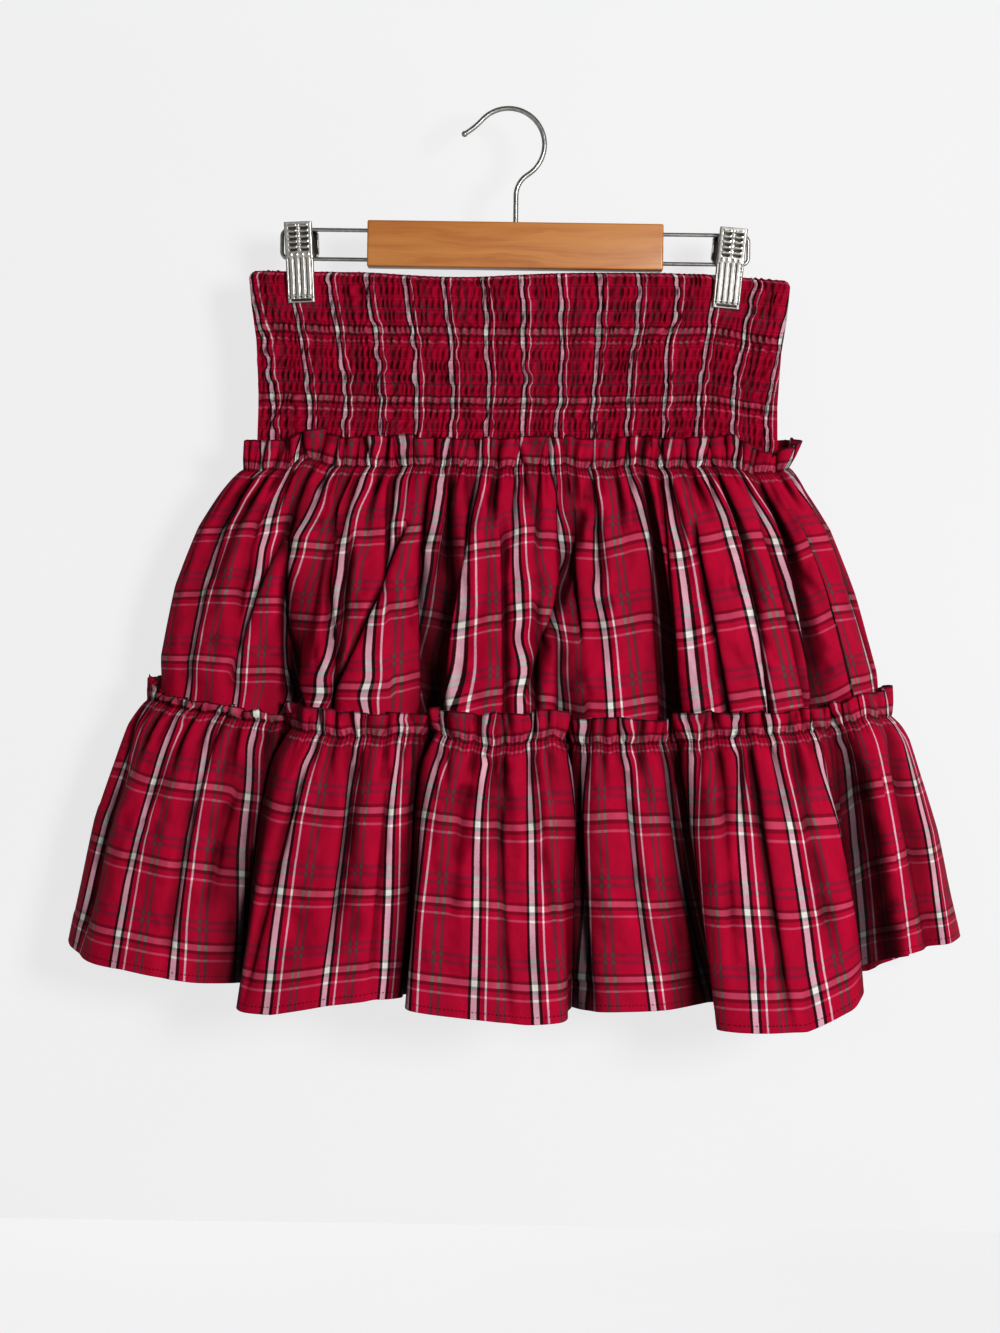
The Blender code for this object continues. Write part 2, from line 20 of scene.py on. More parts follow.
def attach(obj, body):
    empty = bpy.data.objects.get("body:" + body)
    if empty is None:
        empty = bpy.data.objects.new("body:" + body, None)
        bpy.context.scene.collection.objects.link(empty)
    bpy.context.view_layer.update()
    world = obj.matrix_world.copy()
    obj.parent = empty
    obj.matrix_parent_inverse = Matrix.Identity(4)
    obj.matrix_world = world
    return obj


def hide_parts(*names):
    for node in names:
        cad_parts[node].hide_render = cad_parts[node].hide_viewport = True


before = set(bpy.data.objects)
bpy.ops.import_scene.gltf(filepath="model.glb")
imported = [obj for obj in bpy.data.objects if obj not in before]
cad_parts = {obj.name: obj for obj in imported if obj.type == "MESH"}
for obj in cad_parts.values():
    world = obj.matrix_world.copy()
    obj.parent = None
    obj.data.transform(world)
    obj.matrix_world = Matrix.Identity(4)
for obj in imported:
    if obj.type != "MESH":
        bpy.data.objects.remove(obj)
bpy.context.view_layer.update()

MM = 0.001
ROOT = "root"

# Where the hanger and the garment stand, in the part's own millimetres.
HANGER_X = 5.3
GARMENT_X = 8.5
WAIST_SLOPE = 0.02
WIRE_LEVELS = (-79.0, -98.0)
CLIP_X = 140.2
CLIP_WIDTH = 18.0
CLIP_PIVOT_Z = -88.6
CLIP_LEANS = (3.0, -4.6)
SHARP_STEEL = 50.0
SIDES = (("left", -1.0), ("right", 1.0))

Rows = Sequence[tuple[float, ...]]
Colour = tuple[float, float, float]

log = logging.getLogger("skort")


# ---- Node trees ----


class Signal:
    """A socket that carries a number, with Python's operators as Math nodes."""

    def __init__(self, bench: "Bench", socket: bpy.types.NodeSocket) -> None:
        """Keeps the socket and the bench that adds nodes after it."""
        self.bench = bench
        self.socket = socket

    def math(self, operation: str, *values: "Signal | float") -> "Signal":
        """Adds a Math node.

        Args:
            operation: The node's operation.
            values: Its inputs, in order.

        Returns:
            The node's result.
        """
        inputs = dict(enumerate(values))
        return Signal(self.bench, self.bench.node("Math", {"operation": operation}, inputs).outputs[0])

    def __add__(self, other: "Signal | float") -> "Signal":
        """Sum."""
        return self.math("ADD", self, other)

    __radd__ = __add__

    def __sub__(self, other: "Signal | float") -> "Signal":
        """Difference."""
        return self.math("SUBTRACT", self, other)

    def __rsub__(self, other: "Signal | float") -> "Signal":
        """Reflected difference."""
        return self.math("SUBTRACT", other, self)

    def __mul__(self, other: "Signal | float") -> "Signal":
        """Product."""
        return self.math("MULTIPLY", self, other)

    __rmul__ = __mul__

    def __truediv__(self, other: "Signal | float") -> "Signal":
        """Quotient."""
        return self.math("DIVIDE", self, other)

    def __abs__(self) -> "Signal":
        """Size without sign."""
        return self.math("ABSOLUTE", self)

    def repeat(self, period: float) -> "Signal":
        """Distance to the nearest whole period, with its sign."""
        return self.math("WRAP", self, period / 2.0, -period / 2.0)

    def sine(self) -> "Signal":
        """Sine."""
        return self.math("SINE", self)

    def step(self, low: float, high: float) -> "Signal":
        """A soft step.

        Args:
            low: Where it is 0.
            high: Where it is 1.

        Returns:
            The step, from 0 to 1.
        """
        ramp = {"interpolation_type": "SMOOTHSTEP"}
        inputs = {"Value": self, "From Min": low, "From Max": high}
        return Signal(self.bench, self.bench.node("MapRange", ramp, inputs).outputs[0])

    def within(self, low: float, high: float, soft: float) -> "Signal":
        """A soft stripe.

        Args:
            low: The stripe's near edge.
            high: Its far edge.
            soft: How wide each edge's ramp is.

        Returns:
            1 in the stripe and 0 outside it.
        """
        half = soft / 2.0
        return self.step(low - half, low + half) * (1.0 - self.step(high - half, high + half))


class Bench:
    """One material's node tree, and what adds nodes to it."""

    def __init__(self, name: str) -> None:
        """Makes the material with its Principled BSDF.

        Args:
            name: The material's name.
        """
        self.material = bpy.data.materials.new(name)
        self.material.use_nodes = True
        self.tree = self.material.node_tree
        self.shader = self.tree.nodes["Principled BSDF"]

    def connect(self, socket: bpy.types.NodeSocket, value: object) -> None:
        """Links a socket to a signal or another socket, or gives it a plain value.

        Args:
            socket: The input.
            value: A Signal, a socket, a number, a vector or a colour.
        """
        if isinstance(value, Signal):
            self.tree.links.new(value.socket, socket)
        elif isinstance(value, bpy.types.NodeSocket):
            self.tree.links.new(value, socket)
        elif socket.type == "RGBA" and len(value) == 3:
            socket.default_value = (*value, 1.0)
        else:
            socket.default_value = value

    def node(
        self,
        kind: str,
        settings: dict[str, object] | None = None,
        inputs: dict[str | int, object] | None = None,
    ) -> bpy.types.Node:
        """Adds a node.

        Args:
            kind: Its type, without ShaderNode.
            settings: Its own settings, which are set first.
            inputs: Values or links for its sockets, by name or index.

        Returns:
            The node.
        """
        added = self.tree.nodes.new("ShaderNode" + kind)
        for key, value in (settings or {}).items():
            setattr(added, key, value)
        for key, value in (inputs or {}).items():
            self.connect(added.inputs[key], value)
        return added

    def mix(
        self, share: Signal | float, first: object, second: object, blend: str = "MIX"
    ) -> bpy.types.NodeSocket:
        """Mixes two colours.

        Args:
            share: How much of the second.
            first: A colour or its socket.
            second: A colour or its socket.
            blend: The blending mode.

        Returns:
            The mixed colour's socket.
        """
        settings = {"data_type": "RGBA", "blend_type": blend}
        return self.node("Mix", settings, {0: share, 6: first, 7: second}).outputs[2]

    def noise(
        self, place: object, scale: float, detail: float = 2.0, rough: float = 0.5
    ) -> Signal:
        """Soft noise from 0 to 1.

        Args:
            place: The vector that it reads.
            scale: Features per unit.
            detail: Octaves.
            rough: How strong the fine octaves are.

        Returns:
            The noise.
        """
        inputs = {"Vector": place, "Scale": scale, "Detail": detail, "Roughness": rough}
        return Signal(self, self.node("TexNoise", None, inputs).outputs[0])

    def stretched(self, place: object, scale: tuple[float, float, float]) -> bpy.types.NodeSocket:
        """The place scaled along each axis."""
        return self.node("VectorMath", {"operation": "MULTIPLY"}, {0: place, 1: scale}).outputs[0]

    def cloth(self) -> tuple[bpy.types.NodeSocket, Signal, Signal]:
        """The flat cloth's place, as a vector and as two numbers in millimetres."""
        flat = self.node("UVMap", {"uv_map": Fabric.UV}).outputs[0]
        place = self.stretched(flat, (1.0 / MM, 1.0 / MM, 1.0))
        parts = self.node("SeparateXYZ", None, {0: place})
        return place, Signal(self, parts.outputs[0]), Signal(self, parts.outputs[1])

    def trim(self) -> tuple[Signal, Signal]:
        """Places along and down from the gathering line, in millimetres."""
        layer = self.node("UVMap", {"uv_map": Fabric.TRIM})
        parts = self.node("SeparateXYZ", None, {0: layer.outputs[0]})
        return Signal(self, parts.outputs[0]) / MM, Signal(self, parts.outputs[1]) / MM

    def shut_in(self) -> Signal:
        """How shut in the surface is: 0 on a crest and near 1 down a narrow trough. Materials darken their
        colour by it, as painted shade.
        """
        layer = self.node("Attribute", {"attribute_name": Fabric.PAINTED_SHADE})
        return Signal(self, layer.outputs["Fac"])

    def object_place(self) -> bpy.types.NodeSocket:
        """The place on the object, in millimetres."""
        place = self.node("TexCoord").outputs["Object"]
        return self.stretched(place, (1.0 / MM, 1.0 / MM, 1.0 / MM))

    def bump(self, height: Signal, distance: float, strength: float = 1.0) -> None:
        """Feeds the shader's normal.

        Args:
            height: The relief, from 0 to 1.
            distance: How many millimetres a height of 1 stands.
            strength: How much of it shows.
        """
        inputs = {"Height": height, "Distance": distance * MM, "Strength": strength}
        self.feed(Normal=self.node("Bump", None, inputs).outputs[0])

    def feed(self, **sockets: object) -> None:
        """Sets the shader's sockets, with _ for each space."""
        for key, value in sockets.items():
            self.connect(self.shader.inputs[key.replace("_", " ")], value)


def display(red: int, green: int, blue: int) -> Colour:
    """A colour as a screen shows it, kept as it is seen."""
    return (red / 255.0, green / 255.0, blue / 255.0)


def linear(colour: Colour) -> Colour:
    """A screen colour as light."""
    return tuple(part**2.2 for part in colour)


# ---- Finishes ----


class Smocking(Enum):
    """Whether a cloth carries rows of elastic thread."""

    NONE = 0
    ROWS = 1


@dataclass(frozen=True)
class Stripe:
    """One stripe of the check, from low to high off the repeat's middle."""

    low: float
    high: float
    colour: Colour


class Fabric:
    """Names that all cloth shares."""

    UV = "cloth"
    TRIM = "trim"
    # The attribute that holds how shut in each point is, painted into colour as shade.
    PAINTED_SHADE = "shut"
    PLAID_SLOT = "plaid_cotton"
    SMOCKED_SLOT = "smocked_plaid"
    KNIT_SLOT = "shorts_knit"


@dataclass(frozen=True)
class PlaidCotton:
    """Yarn-dyed red check, where every point mixes the warp's thread with the weft's.

    Its layout is a plain one of this part's own: a broad light line between two dark ones, a thin
    light line set apart from it on one side, and twin dull lines that stand off the repeat's middle.
    """

    warp_repeat: float = 47.0
    weft_repeat: float = 51.0
    ground: Colour = display(182, 4, 58)
    edge_soft: float = 0.6
    warp_share: float = 0.7
    warp: tuple[Stripe, ...] = (
        Stripe(-8.2, -6.2, display(4, 2, 6)),
        Stripe(-6.2, -1.8, display(240, 238, 236)),
        Stripe(-1.8, 0.4, display(4, 2, 6)),
        Stripe(3.8, 5.4, display(240, 238, 236)),
    )
    warp_twins: tuple[Stripe, ...] = (
        Stripe(12.6, 14.8, display(94, 70, 66)),
        Stripe(17.6, 19.8, display(94, 70, 66)),
    )
    weft: tuple[Stripe, ...] = (
        Stripe(-7.8, -5.8, display(30, 0, 10)),
        Stripe(-5.8, -1.8, display(238, 236, 206)),
        Stripe(-1.8, 0.4, display(26, 0, 10)),
        Stripe(3.6, 5.2, display(238, 236, 206)),
        Stripe(-21.8, -19.4, display(76, 84, 70)),
        Stripe(-16.8, -14.4, display(76, 84, 70)),
    )
    thread: float = 0.42
    thread_relief: float = 0.05
    roughness: float = 0.6
    gloss: float = 0.12
    elastic_pitch: float = 9.05
    seam: float = 0.0
    hem_line: float = 167.5
    stitch: float = 2.8
    # Spacing of the painted shade dashes for the puckers along the gathering line.
    pucker_pitch: float = 3.7
    frill_edge: float = -20.0
    # How far painted shade darkens the plain and the smocked cloth where it is shut in.
    shaded: float = 0.56
    smocked_shaded: float = 0.26
    smocked_tone: float = 0.97
    smocked_twins: tuple[Stripe, ...] = (
        Stripe(11.6, 14.8, display(118, 48, 56)),
        Stripe(17.6, 20.8, display(118, 48, 56)),
    )

    def stripes(
        self, bench: Bench, across: Signal, repeat: float, table: tuple[Stripe, ...]
    ) -> bpy.types.NodeSocket:
        """Colours one set of threads.

        Args:
            bench: The material's nodes.
            across: The distance across the threads.
            repeat: The width of one repeat.
            table: The stripes of one repeat.

        Returns:
            The threads' colour, as seen.
        """
        distance = across.repeat(repeat)
        colour: object = self.ground
        for stripe in table:
            mask = distance.within(stripe.low, stripe.high, self.edge_soft)
            colour = bench.mix(mask, colour, stripe.colour)
        return colour

    def material(self, smocking: Smocking = Smocking.NONE) -> bpy.types.Material:
        """Makes the cloth.

        Args:
            smocking: Whether it has rows of elastic thread.

        Returns:
            The material.
        """
        bench = Bench("smocked_plaid" if smocking is Smocking.ROWS else "plaid_cotton")
        place, across, down = bench.cloth()
        worn = bench.noise(place, 0.9, 3.0)
        across = across + (worn - 0.5) * 0.5
        twins = self.smocked_twins if smocking is Smocking.ROWS else self.warp_twins
        warp = self.stripes(bench, across, self.warp_repeat, self.warp + twins)
        weft = self.stripes(bench, down, self.weft_repeat, self.weft)
        seen = bench.mix(self.warp_share, weft, warp)
        turn = math.tau / self.thread
        ribs = (across * turn).sine() * (down * turn).sine()
        slub = bench.noise(bench.stretched(place, (2.2, 0.12, 1.0)), 1.0, 2.0)
        slub_across = bench.noise(bench.stretched(place, (0.12, 2.2, 1.0)), 1.0, 2.0)
        tone = 0.9 + (slub + slub_across) * 0.1 + ribs * 0.025
        mottle = bench.noise(bench.stretched(place, (0.07, 0.035, 1.0)), 1.0, 3.0)
        tone = tone * (0.81 + mottle * 0.32)
        along, below = bench.trim()
        rows = [abs(below.repeat(self.elastic_pitch))]
        if smocking is Smocking.ROWS:
            tone = tone * self.smocked_tone
        else:
            rows = [abs(below - self.seam), abs(below - self.hem_line)]
            # Painted shade: short dark dashes near the gathering line stand for the puckers' shadows.
            band = 1.0 - abs(below - self.seam).step(4.0, 9.0)
            pucker_shade = ((along + worn * 3.0) * (math.tau / self.pucker_pitch)).sine().step(-0.2, 0.6)
            tone = tone * (1.0 - band * pucker_shade * 0.3)
            # Painted shade: a dark line along the frill's top edge.
            tone = tone * (0.6 + (below - self.frill_edge).step(0.6, 1.5) * 0.4)
        dashes = (along * (math.tau / self.stitch)).sine().step(-0.5, 0.1)
        for row in rows:
            tone = tone * (1.0 - (1.0 - row.step(0.25, 0.65)) * dashes * 0.35)
        # Painted shade: the colour darkens down troughs and folds, by how shut in each point is.
        shaded = self.smocked_shaded if smocking is Smocking.ROWS else self.shaded
        tone = tone * (1.0 - bench.shut_in().step(0.04, 0.72) * shaded)
        grey = bench.node("CombineColor", None, {0: tone, 1: tone, 2: tone}).outputs[0]
        seen = bench.mix(1.0, seen, grey, "MULTIPLY")
        bench.feed(
            Base_Color=bench.node("Gamma", None, {0: seen, 1: 2.2}).outputs[0],
            Roughness=self.roughness + (slub - 0.5) * 0.16,
            Specular_IOR_Level=self.gloss,
        )
        creases = bench.noise(place, 0.16, 3.0, 0.55)
        bench.bump(creases * 0.8 + ribs * self.thread_relief + slub * 0.06, 0.8)
        return bench.material


@dataclass(frozen=True)
class ShortsKnit:
    """Fine plain knit: columns of little loops."""

    colour: Colour = display(150, 8, 34)
    loop: float = 1.1

    def material(self) -> bpy.types.Material:
        """Makes the knit."""
        bench = Bench("shorts_knit")
        place, across, down = bench.cloth()
        column = across * (math.tau / self.loop)
        zigzag = (down * (math.tau / self.loop) + abs(column.sine()) * 1.4).sine()
        heather = bench.noise(place, 0.8, 3.0)
        shade = bench.mix(heather, linear(self.colour), linear(display(118, 4, 26)))
        bench.feed(Base_Color=shade, Roughness=0.78 + heather * 0.08, Sheen_Weight=0.25)
        bench.bump(zigzag * 0.25 + column.sine() * 0.25 + heather * 0.5, 0.25)
        return bench.material


@dataclass(frozen=True)
class Steel:
    """Bright plated steel with faint drawing lines and handling marks, and painted shade down its stamped
    recesses.
    """

    name: str
    colour: Colour
    roughness: float
    marks: float = 0.12

    def material(self) -> bpy.types.Material:
        """Makes the steel."""
        bench = Bench(self.name)
        place = bench.object_place()
        haze = bench.noise(place, 0.35, 4.0, 0.6)
        lines = bench.noise(bench.stretched(place, (3.0, 3.0, 0.25)), 1.0, 3.0)
        dull = linear(tuple(part * 0.82 for part in self.colour))
        tone = bench.mix(haze.step(0.35, 0.75), linear(self.colour), dull)
        bench.feed(
            # Painted shade: near black where the shut attribute marks a deep recess.
            Base_Color=bench.mix(bench.shut_in() * 0.8, tone, (0.02, 0.018, 0.015)),
            Metallic=1.0,
            Roughness=self.roughness + haze * self.marks + (lines - 0.5) * 0.06,
        )
        bench.bump(lines, 0.01, 0.3)
        return bench.material


@dataclass(frozen=True)
class LacqueredWood:
    """Orange-tan hardwood under clear lacquer, its grain along the bar."""

    light: Colour = display(193, 128, 62)
    middle: Colour = display(175, 106, 45)
    dark: Colour = display(140, 74, 28)

    def material(self) -> bpy.types.Material:
        """Makes the wood."""
        bench = Bench("lacquered_wood")
        place = bench.object_place()
        drift = bench.noise(bench.stretched(place, (0.012, 0.05, 0.05)), 1.0, 3.0)
        bent = bench.node(
            "VectorMath",
            {"operation": "ADD"},
            {
                0: place,
                1: bench.node(
                    "CombineXYZ", None, {0: 0.0, 1: drift * 10.0, 2: drift * 22.0}
                ).outputs[0],
            },
        ).outputs[0]
        bands = bench.noise(bench.stretched(bent, (0.006, 0.12, 0.16)), 1.0, 4.0, 0.6)
        fibre = bench.noise(bench.stretched(place, (0.05, 1.6, 1.9)), 1.0, 3.0, 0.6)
        pores = bench.noise(bench.stretched(place, (0.16, 3.0, 3.4)), 1.0, 2.0).step(0.66, 0.8)
        tone = bench.mix(bands.step(0.3, 0.7), linear(self.light), linear(self.middle))
        tone = bench.mix((bands * 0.6 + fibre * 0.4).step(0.5, 0.78) * 0.6, tone, linear(self.dark))
        tone = bench.mix(pores * 0.35, tone, linear(self.dark))
        bench.feed(
            Base_Color=tone,
            Roughness=0.42 + fibre * 0.1,
            Coat_Weight=0.35,
            Coat_Roughness=0.22,
        )
        bench.bump(fibre * 0.4 + pores * -0.6, 0.08)
        return bench.material


# ---- Curves and grids ----


def smooth(low: float, high: float, value: np.ndarray | float) -> np.ndarray:
    """0 before low and 1 after high, with a soft ramp between."""
    share = np.clip((np.asarray(value, float) - low) / (high - low), 0.0, 1.0)
    return share * share * (3.0 - 2.0 * share)


def read_table(rows: Rows, key: np.ndarray | float, column: int) -> np.ndarray:
    """Reads a table.

    Args:
        rows: Rows sorted by a falling first column.
        key: Values of the first column.
        column: The column to read.

    Returns:
        That column at each key, straight between rows.
    """
    table = np.array(rows, float)[::-1]
    return np.interp(key, table[:, 0], table[:, column])


def spline(ring: np.ndarray, positions: np.ndarray) -> np.ndarray:
    """Catmull-Rom curve through a closed ring.

    Args:
        ring: The ring's points.
        positions: Places round it, counted in points.

    Returns:
        A point for each position.
    """
    index = np.floor(positions).astype(int)
    share = (positions - index)[:, None]
    before, start, end, after = (ring[(index + k) % len(ring)] for k in (-1, 0, 1, 2))
    return 0.5 * (
        2.0 * start
        + (end - before) * share
        + (2.0 * before - 5.0 * start + 4.0 * end - after) * share**2
        + (3.0 * start - 3.0 * end + after - before) * share**3
    )


def lengths_along(points: np.ndarray) -> np.ndarray:
    """The length of a line up to each of its points."""
    steps = np.linalg.norm(np.diff(points, axis=0), axis=1)
    return np.concatenate([[0.0], np.cumsum(steps)])


def soft_noise(places: np.ndarray, cell: float, seed: int) -> np.ndarray:
    """Smooth noise along a line.

    Args:
        places: Where it is read.
        cell: The distance between its knots.
        seed: Which noise.

    Returns:
        Values from -1 to 1.
    """
    low = math.floor(float(places.min()) / cell) - 1
    high = math.ceil(float(places.max()) / cell) + 2
    knots = np.random.default_rng(seed).uniform(-1.0, 1.0, high - low + 1)
    at = places / cell - low
    index = np.floor(at).astype(int)
    share = smooth(0.0, 1.0, at - index)
    return knots[index] * (1.0 - share) + knots[index + 1] * share


def crumples(across: np.ndarray, down: float, cell: float, tall: float, seed: int) -> np.ndarray:
    """Smooth noise over a sheet, read along one of its rows.

    Args:
        across: Places along the row.
        down: How far down the row is.
        cell: The noise's cell along the row.
        tall: Its cell down the sheet.
        seed: Which noise.

    Returns:
        Values from -1 to 1.
    """
    line = math.floor(down / tall)
    blend = float(smooth(0.0, 1.0, down / tall - line))
    first = soft_noise(across, cell, 100 * seed + line + 20)
    return first * (1.0 - blend) + soft_noise(across, cell, 100 * seed + line + 21) * blend


def new_piece(name: str, mesh: bpy.types.Mesh, material: bpy.types.Material) -> bpy.types.Object:
    """Links a finished mesh as a piece that rides on the body.

    Args:
        name: The piece's name.
        mesh: Its mesh, in place.
        material: Its finish.

    Returns:
        The piece.
    """
    piece = bpy.data.objects.new(name, mesh)
    bpy.context.scene.collection.objects.link(piece)
    mesh.materials.append(material)
    mesh.shade_smooth()
    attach(piece, ROOT)
    return piece


def mesh_from(bm: bmesh.types.BMesh, name: str) -> bpy.types.Mesh:
    """The bmesh as a mesh."""
    mesh = bpy.data.meshes.new(name)
    bm.to_mesh(mesh)
    bm.free()
    return mesh


# Its result is painted into the cloth's colour as shade down troughs.
def shut_in(line: np.ndarray, side: np.ndarray, reach: int = 40) -> np.ndarray:
    """How much of the half circle outside a folded line is hidden from each of its points.

    Args:
        line: The line's points, in plan.
        side: The way out at each point.
        reach: How many points each way can hide it.

    Returns:
        From 0, open, to 1, shut in.
    """
    along = np.stack([-side[:, 1], side[:, 0]], axis=1)
    hidden = np.zeros(len(line))
    for way in (-1, 1):
        horizon = np.zeros(len(line))
        for step in range(1, reach + 1):
            other = np.clip(np.arange(len(line)) + way * step, 0, len(line) - 1)
            gap = line[other] - line
            out = (gap * side).sum(axis=1)
            ahead = (gap * along).sum(axis=1) * way
            angle = np.where(out > 0.0, np.arctan2(out, ahead), 0.0)
            horizon = np.maximum(horizon, angle)
        hidden += horizon
    share = np.clip(hidden / math.pi, 0.0, 1.0)
    return np.convolve(np.pad(share, 1, mode="edge"), (0.25, 0.5, 0.25), mode="valid")


def cloth_piece(
    name: str,
    places: np.ndarray,
    flat: np.ndarray,
    wall: float,
    material: bpy.types.Material,
    trim: np.ndarray | None = None,
    shut: np.ndarray | None = None,
) -> bpy.types.Object:
    """A sheet of cloth: a grid moved into its folds and given its wall on the inner side.

    Args:
        name: The piece's name.
        places: A point in millimetres for each row and column of the grid.
        flat: Its place on the flat cloth, in millimetres.
        wall: The cloth's thickness.
        material: Its finish.
        trim: Its place from the gathering line, where that differs from the check's.
        shut: How shut in it is, which its material paints into its colour as shade.

    Returns:
        The piece.
    """
    rows, columns = places.shape[0] - 1, places.shape[1] - 1
    bm = bmesh.new()
    bmesh.ops.create_grid(bm, x_segments=columns, y_segments=rows, size=1.0)
    mesh = mesh_from(bm, name)
    start = np.empty(len(mesh.vertices) * 3)
    mesh.vertices.foreach_get("co", start)
    start = start.reshape(-1, 3)
    column = np.rint((start[:, 0] + 1.0) / 2.0 * columns).astype(int)
    row = np.rint((1.0 - start[:, 1]) / 2.0 * rows).astype(int)
    mesh.vertices.foreach_set("co", (places[row, column] * MM).ravel())
    corners = np.empty(len(mesh.loops), int)
    mesh.loops.foreach_get("vertex_index", corners)
    for layer_name, values in ((Fabric.UV, flat), (Fabric.TRIM, flat if trim is None else trim)):
        layer = mesh.uv_layers.new(name=layer_name)
        layer.data.foreach_set("uv", (values[row, column] * MM)[corners].ravel())
    if shut is not None:
        layer = mesh.attributes.new(Fabric.PAINTED_SHADE, "FLOAT", "POINT")
        layer.data.foreach_set("value", shut[row, column])
    piece = new_piece(name, mesh, material)
    solidify = piece.modifiers.new("wall", "SOLIDIFY")
    solidify.thickness = wall * MM
    solidify.offset = -1.0
    solidify.use_even_offset = False
    return piece


def swept_piece(
    name: str,
    route: np.ndarray,
    radius: float,
    material: bpy.types.Material,
    sides: int = 20,
) -> bpy.types.Object:
    """A round wire along a route, with domed ends.

    Args:
        name: The piece's name.
        route: Points in millimetres.
        radius: The wire's radius.
        material: Its finish.
        sides: How many sides its section has.

    Returns:
        The piece.
    """
    curve = bpy.data.curves.new(name, "CURVE")
    curve.dimensions = "3D"
    curve.bevel_depth = radius * MM
    curve.bevel_resolution = sides // 4
    curve.use_fill_caps = True
    line = curve.splines.new("POLY")
    line.points.add(len(route) - 1)
    for point, place in zip(line.points, route):
        point.co = (*(place * MM), 1.0)
    source = bpy.data.objects.new(name + "_route", curve)
    bpy.context.scene.collection.objects.link(source)
    bpy.context.view_layer.update()
    graph = bpy.context.evaluated_depsgraph_get()
    mesh = bpy.data.meshes.new_from_object(source.evaluated_get(graph))
    bpy.data.objects.remove(source)
    mesh.name = name
    mesh.materials.clear()
    bm = bmesh.new()
    bm.from_mesh(mesh)
    bmesh.ops.remove_doubles(bm, verts=bm.verts, dist=radius * MM * 0.01)
    bm.to_mesh(mesh)
    bm.free()
    piece = new_piece(name, mesh, material)
    mesh.set_sharp_from_angle(angle=math.radians(SHARP_STEEL))
    return piece


# ---- The skirt's folds ----


@dataclass(frozen=True)
class Fold:
    """One crest or valley, from the lower gathering line to the hem: x, depth to the front and z."""

    name: str
    gather: tuple[float, float, float]
    hem: tuple[float, float, float]


FRONT_FOLDS = (
    Fold("side_left", (-237.0, 0.0, -386.0), (-287.0, 0.0, -541.0)),
    Fold("left_turn", (-233.5, 10.0, -387.0), (-283.0, 13.0, -543.5)),
    Fold("first_rise", (-214.0, 24.0, -391.0), (-262.0, 36.0, -553.0)),
    Fold("first_crest", (-172.0, 37.0, -397.0), (-206.0, 47.0, -563.0)),
    Fold("first_valley", (-143.0, 29.0, -401.0), (-163.0, 29.0, -567.0)),
    Fold("second_rise", (-131.0, 45.0, -404.0), (-169.0, 57.0, -580.0)),
    Fold("second_crest", (-74.0, 50.0, -409.0), (-89.0, 67.0, -579.0)),
    Fold("second_valley", (-50.0, 32.0, -412.0), (-57.0, 32.0, -572.0)),
    Fold("third_rise", (-41.0, 52.0, -412.0), (-61.0, 66.0, -577.0)),
    Fold("third_crest", (21.0, 53.0, -413.0), (29.0, 74.0, -584.0)),
    Fold("third_valley", (32.0, 35.0, -418.0), (33.0, 37.0, -578.0)),
    Fold("fourth_rise", (51.0, 45.0, -424.0), (60.0, 51.0, -578.0)),
    Fold("fourth_crest", (85.0, 44.0, -424.0), (98.0, 45.0, -577.0)),
    Fold("fourth_valley", (101.0, 35.0, -422.0), (134.0, 29.0, -574.0)),
    Fold("fifth_rise", (123.0, 50.0, -418.0), (136.0, 72.0, -586.0)),
    Fold("fifth_crest", (183.0, 50.0, -414.0), (213.0, 70.0, -581.0)),
    Fold("fifth_valley", (202.0, 33.0, -406.0), (217.0, 38.0, -557.0)),
)
BACK_FOLDS = (
    Fold("seam_right", (221.0, 33.0, -400.0), (251.0, 43.0, -543.0)),
    Fold("last_crest", (233.0, 24.0, -396.0), (275.0, 34.0, -536.0)),
    Fold("right_turn", (240.0, 12.0, -393.0), (288.0, 16.0, -532.0)),
    Fold("side_right", (243.0, 2.0, -392.0), (291.0, 3.0, -531.0)),
    Fold("right_turn_back", (239.5, -9.0, -393.0), (288.0, -11.0, -533.5)),
    Fold("back_crest_1", (212.0, -23.0, -398.0), (254.0, -33.0, -552.0)),
    Fold("back_valley_1", (182.0, -17.0, -404.0), (216.0, -22.0, -560.0)),
    Fold("back_crest_2", (148.0, -31.0, -409.0), (176.0, -42.0, -570.0)),
    Fold("back_valley_2", (116.0, -19.0, -413.0), (137.0, -24.0, -573.0)),
    Fold("back_crest_3", (83.0, -33.0, -415.0), (98.0, -46.0, -577.0)),
    Fold("back_valley_3", (46.0, -20.0, -416.0), (54.0, -25.0, -576.0)),
    Fold("back_crest_4", (8.0, -33.0, -417.0), (12.0, -46.0, -579.0)),
    Fold("back_valley_4", (-30.0, -21.0, -416.0), (-35.0, -26.0, -577.0)),
    Fold("back_crest_5", (-67.0, -33.0, -415.0), (-80.0, -46.0, -578.0)),
    Fold("back_valley_5", (-104.0, -19.0, -411.0), (-124.0, -24.0, -572.0)),
    Fold("back_crest_6", (-141.0, -30.0, -407.0), (-167.0, -42.0, -568.0)),
    Fold("back_valley_6", (-178.0, -17.0, -400.0), (-212.0, -22.0, -560.0)),
    Fold("back_crest_7", (-210.0, -22.0, -393.0), (-251.0, -33.0, -551.0)),
    Fold("left_turn_back", (-233.5, -9.0, -387.0), (-283.5, -12.0, -543.0)),
)


